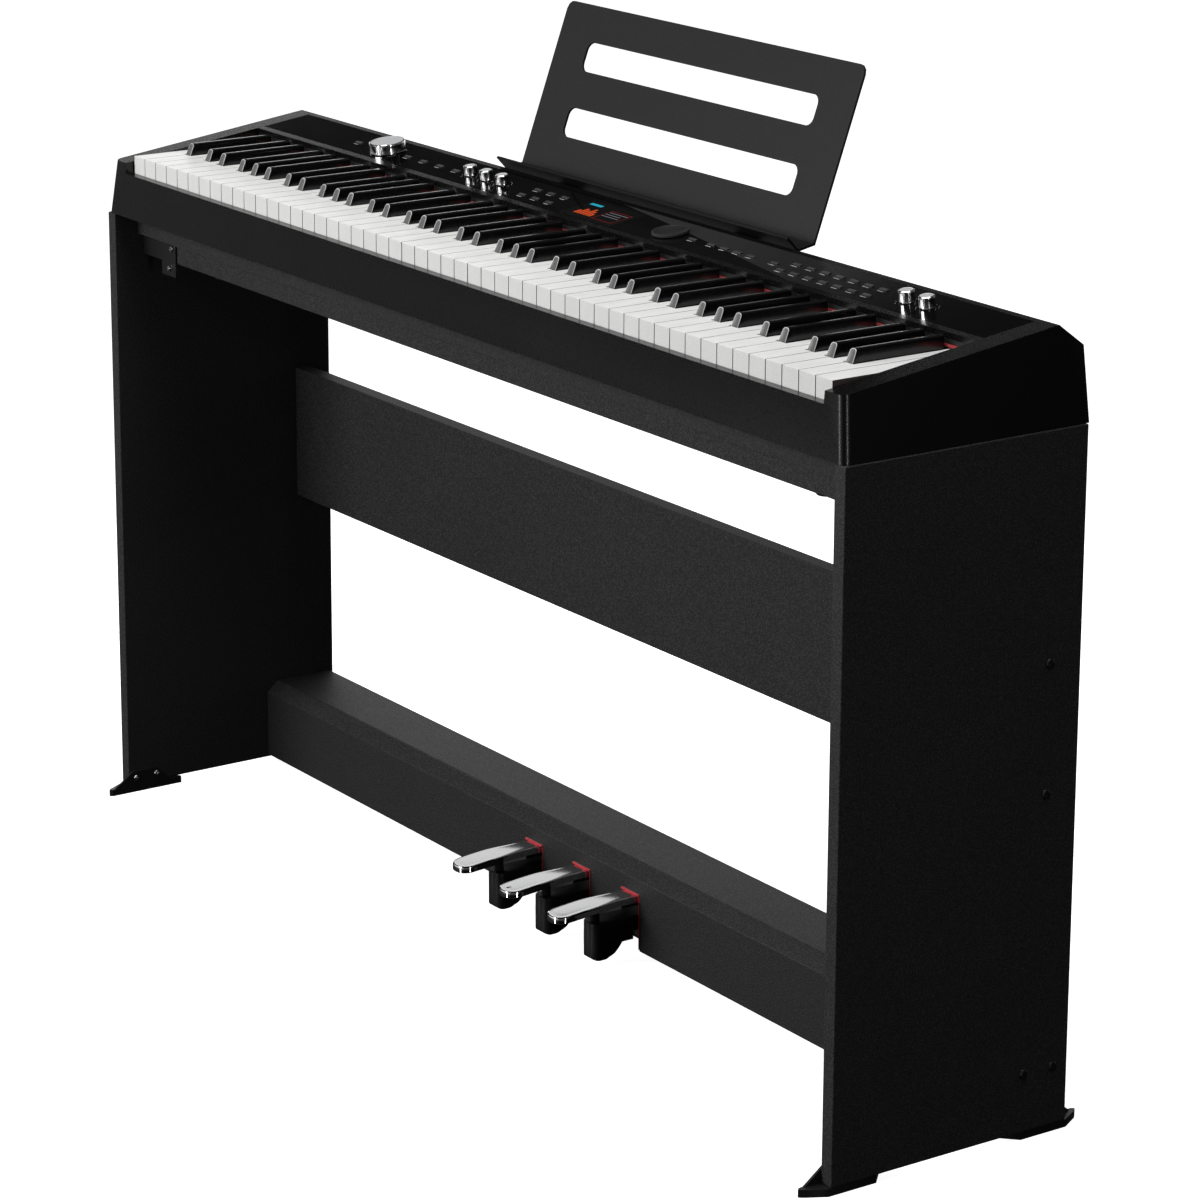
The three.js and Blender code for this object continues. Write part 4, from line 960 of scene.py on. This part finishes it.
marks = []
for group in GROUP_NAMES:
    softened(group, 0.35 * MM, BUTTON, 3)
    spots = cap_spots(group)
    for x, back in spots:
        left, right, near, far = x - 4.2 * MM, x + 4.2 * MM, back - 5.0 * MM, back - 4.3 * MM
        marks.append(printed(((left, near), (right, near), (right, far), (left, far))))
    print(group, len(spots))
for knob in KNOBS:
    low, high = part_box(knob)
    ring = (high.x - low.x) / 2 + 3.2 * MM
    for x, back in round_spots((low.x + high.x) / 2, 0, ring, 240, -30, DOTS):
        marks.append(printed(round_spots(x, back, 0.42 * MM, 0, 30, 12)))
piece("panel_marks", mesh_of("panel_marks", *gathered(marks)), [MARK], "piano")

# %% [markdown]
# ### Knobs
# A knob is turned from aluminium: polished on its side, satin on top, with a bright chamfer between the
# two. A lathe profile does it. Fine grooves round the side catch the light as upright stripes, and they are
# real geometry. A pale line shows which way the knob points.

# %% Knobs
GROOVE_FROM, GROOVE_TO = 1.4 * MM, 8.5 * MM
GROOVE_DEEP = 0.16 * MM
STEM = [(2.8 * MM, -9.9 * MM), (3.0 * MM, -9.4 * MM), (3.0 * MM, 0.6 * MM)]


def grooved(count):
    """A lathe outline with that many upright grooves."""
    def shape(angle, radius, height):
        dip = GROOVE_DEEP * (0.5 - 0.5 * math.cos(count * angle))
        return radius - dip if GROOVE_FROM < height < GROOVE_TO else radius
    return shape


def knob_piece(node, finishes, profile, satin_rings, sides, shape, detail):
    """A turned knob on the deck. It has the second finish from ring satin_rings on, its detail the third."""
    low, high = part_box(node)
    x = (low.x + high.x) / 2
    points, faces = turned(profile, sides, shape)
    face_finish = [int(face[0] // sides >= satin_rings or len(face) > 4 and face[0] > 0) for face in faces]
    face_finish += [2] * len(detail[1])
    points, faces = gathered([(points, faces), detail])
    points = [deck_point(x + p[0], p[1], p[2]) for p in points]
    return piece(node + "_turned", mesh_of(node, points, faces, face_finish), finishes,
                 frame["nodes"][node]["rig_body"], [node], sharp=32)


for knob in ("volume_knob",) + KNOBS:
    low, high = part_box(knob)
    radius = (high.x - low.x) / 2
    top = (11.6 if radius > 7.2 * MM else 10.6) * MM
    edge = min(1.0 * MM, radius * 0.1)
    side = [(radius - edge * 0.5, 0.6 * MM), (radius, 1.2 * MM), (radius, 1.6 * MM), (radius, top - 2.2 * MM),
            (radius, top - 1.6 * MM), (radius - edge * 0.25, top - 0.5 * MM), (radius - edge, top)]
    face = [(radius - edge * 1.5, top), (radius - edge * 2.0, top - 0.35 * MM),
            (radius * 0.4, top - 0.28 * MM), (0.4 * MM, top - 0.28 * MM)]
    line = slab((-0.45 * MM, radius * 0.35, top - 0.33 * MM), (0.45 * MM, radius * 0.82, top - 0.16 * MM))
    count = 60 if radius > 10 * MM else 28
    knob_piece(knob, [CHROME, KNOB_TOP, MARK], STEM + side + face, 10, count * 4,
               grooved(count), line)
    print(knob, count, "grooves")

# %% [markdown]
# ### Jog dial
# The jog dial is a low matte disc with a raised rim, and a dimple for a fingertip near its edge. It turns
# without end, so it has no pointer. Cutting the dimple would need a boolean. A small ring with a hollow
# middle looks the same, and the lathe makes both.

# %% Jog dial
DIMPLE_BACK = 8.2 * MM
low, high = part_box("jog_dial")
radius = (high.x - low.x) / 2
top = 3.6 * MM
side = [(radius - 0.4 * MM, 0.6 * MM), (radius, 1.0 * MM), (radius, 2.5 * MM), (radius - 0.35 * MM, 3.3 * MM)]
face = [(radius - 1.2 * MM, top), (radius - 2.0 * MM, top - 0.05 * MM), (radius - 3.0 * MM, top - 0.6 * MM),
        (2 * MM, top - 0.45 * MM)]
dimple = [(6.0 * MM, 0.0), (6.0 * MM, 0.32 * MM), (5.4 * MM, 0.5 * MM), (4.6 * MM, 0.36 * MM),
          (2.6 * MM, 0.16 * MM), (0.3 * MM, 0.10 * MM)]
bowl = moved(turned(dimple, 48), (0, DIMPLE_BACK, top - 0.52 * MM))
knob_piece("jog_dial", [RUBBER, PLASTIC, PLASTIC], STEM + side + face, 7, 96, None, bowl)
print("jog dial", round(2 * radius / MM), "mm across")

# %% [markdown]
# ## Music rest
# One sheet of steel is folded twice and powder coated, so its edges are thin and its bends tight. It stands
# in two pockets behind the panel and lifts straight out. The CAD sheet has its folds and slots already, and
# a bevel of less than half its thickness keeps both faces flat.

# %% Music rest
softened("music_rest", 0.45 * MM, REST, 3)
print("music rest done")

# %% [markdown]
# ## Keys
# A natural is moulded as one shell with a lip over its front. Its edges are about half a millimetre round,
# and that radius draws the bright line between neighbours. Sets of keys stay one piece each, because they
# move as one.

# %% Naturals
NATURALS = ["key_" + letter for letter in "cdefgab"] + ["naturals_low", "naturals_high"]
for natural in NATURALS:
    softened(natural, 0.55 * MM, IVORY, 3)
print("naturals", NATURALS)

# %% [markdown]
# ### Shape of a sharp
# A sharp is a bar with a round top and a front that leans back. A bevel runs round that front. The bevel
# is given a painted highlight, a light grey rim, and the front face a painted reflection, a grey lighter
# than the bar. A bevelled box can't lean its front and stay round on top, so the bar is skinned from
# arches: the first ones lean, and each is a little wider than the last.

# %% Sharp helpers
# Painted reflection and painted highlight: the leaning front face gets a grey lighter than the black bar,
# standing in for the bright room it mirrors, and its bevel gets a light grey standing in for the highlight on
# the edge.
PAINTED_REFLECTION_SHARP_FACE = speckled("sharp_front", 0.050, 0.095, 1800, 0.34, 0.00002)
PAINTED_HIGHLIGHT_SHARP_BEVEL = speckled("sharp_rim", 0.45, 0.65, 1800, 0.22, 0.00001)
SHARP_HALF, SHARP_TOP_HALF = 5.2 * MM, 4.4 * MM
SHARP_CORNER = 3.3 * MM
SHARP_DEEP = 23.5 * MM
SHARP_RISE = 12 * MM
SHARP_LEAN = 5.4 * MM
LEAN_ENDS = 14 * MM
ARC_STEPS = 8
SHARP_POINTS = 2 * (ARC_STEPS + 3)
FRONT_FACES = SHARP_POINTS // 2 - 1


def sharp_section(middle, y, top, lean=0.0, inset=0.0):
    """An arch from the foot of a sharp to its top. Above the naturals its points move back by up to lean."""
    half, high_half, corner = SHARP_HALF - inset, SHARP_TOP_HALF - inset, SHARP_CORNER - inset
    foot, top = top - SHARP_DEEP, top - inset
    right = [(half, foot), (half, top - SHARP_RISE + inset)]
    for step in range(ARC_STEPS + 1):
        angle = math.pi / 2 * step / ARC_STEPS
        right.append((high_half - corner + corner * math.cos(angle), top - corner + corner * math.sin(angle)))
    left = [(-x, z) for x, z in reversed(right)]
    lean_from = top - SHARP_RISE + inset
    return [Vector((middle + x, y + lean * max(0.0, z - lean_from) / SHARP_RISE, z)) for x, z in right + left]


def sharp_key(middle, low, high, cap_end):
    """One sharp: a leaning front with a bevel round it, the bar, and the plain tail under the panel."""
    front, top = low.y, high.z
    foot = top - SHARP_DEEP
    rings = [sharp_section(middle, front + back * MM, top, SHARP_LEAN, inset * MM)
             for back, inset in ((0.1, 0.75), (0.0, 0.5), (0.25, 0.12), (0.8, 0.0))]
    for back in (9 * MM, LEAN_ENDS):
        rings.append(sharp_section(middle, front + back, top, SHARP_LEAN * (LEAN_ENDS - back) / (18 * MM)))
    rings.append(sharp_section(middle, cap_end - 0.5 * MM, top))
    rings.append(sharp_section(middle, cap_end, top, 0.0, 0.3 * MM))
    tail = slab((middle - SHARP_HALF, front + 16 * MM, foot), (middle + SHARP_HALF, high.y, foot + 11.4 * MM))
    heel = slab((middle - SHARP_HALF, high.y - 10 * MM, low.z), (middle + SHARP_HALF, high.y, foot + 1 * MM))
    points, faces = skin(rings, False, True)
    last = SHARP_POINTS - 1
    faces += [(i, i + 1, last - 1 - i, last - i) for i in range(FRONT_FACES)]
    return [(points, faces), tail, heel]


def sharp_finishes(shapes):
    """Finish numbers for the shapes of one sharp: 2 on the rim, 1 on the front, 0 elsewhere."""
    bar_faces = len(shapes[0][1])
    rim_faces = 2 * SHARP_POINTS
    numbers = [2] * rim_faces + [0] * (bar_faces - rim_faces - FRONT_FACES) + [1] * FRONT_FACES
    return numbers + [0] * sum(len(faces) for _, faces in shapes[1:])


print("points on an arch", len(sharp_section(0, 0, 0)))

# %% [markdown]
# ### Setting down the sharps
# The sharps of a node stand at unequal steps, in twos and threes. Their places are read from the node: the
# highest points of each sharp lie at its left and right, so every two values of x belong to one key.

# %% Sharps
CAP_SHORT = 10.3 * MM
SHARP_NODES = ["key_%s_sharp" % letter for letter in "cdfga"] + ["sharps_low", "sharps_high"]
cap_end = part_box("control_panel")[0].y - CAP_SHORT
for sharp in SHARP_NODES:
    node = frame["nodes"][sharp]
    low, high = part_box(sharp)
    tops = sorted({round(v.co.x, 5) for v in node.data.vertices if v.co.z > high.z - 0.05 * MM})
    middles = [(a + b) / 2 for a, b in zip(tops[::2], tops[1::2])]
    shapes, face_finish = [], []
    for middle in middles:
        made = sharp_key(middle, low, high, cap_end)
        shapes += made
        face_finish += sharp_finishes(made)
    points, faces = gathered(shapes)
    piece(sharp + "_shaped", mesh_of(sharp, points, faces, face_finish), [SHARP, PAINTED_REFLECTION_SHARP_FACE, PAINTED_HIGHLIGHT_SHARP_BEVEL],
          node["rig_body"], [sharp], sharp=30)
    print(sharp, len(middles))
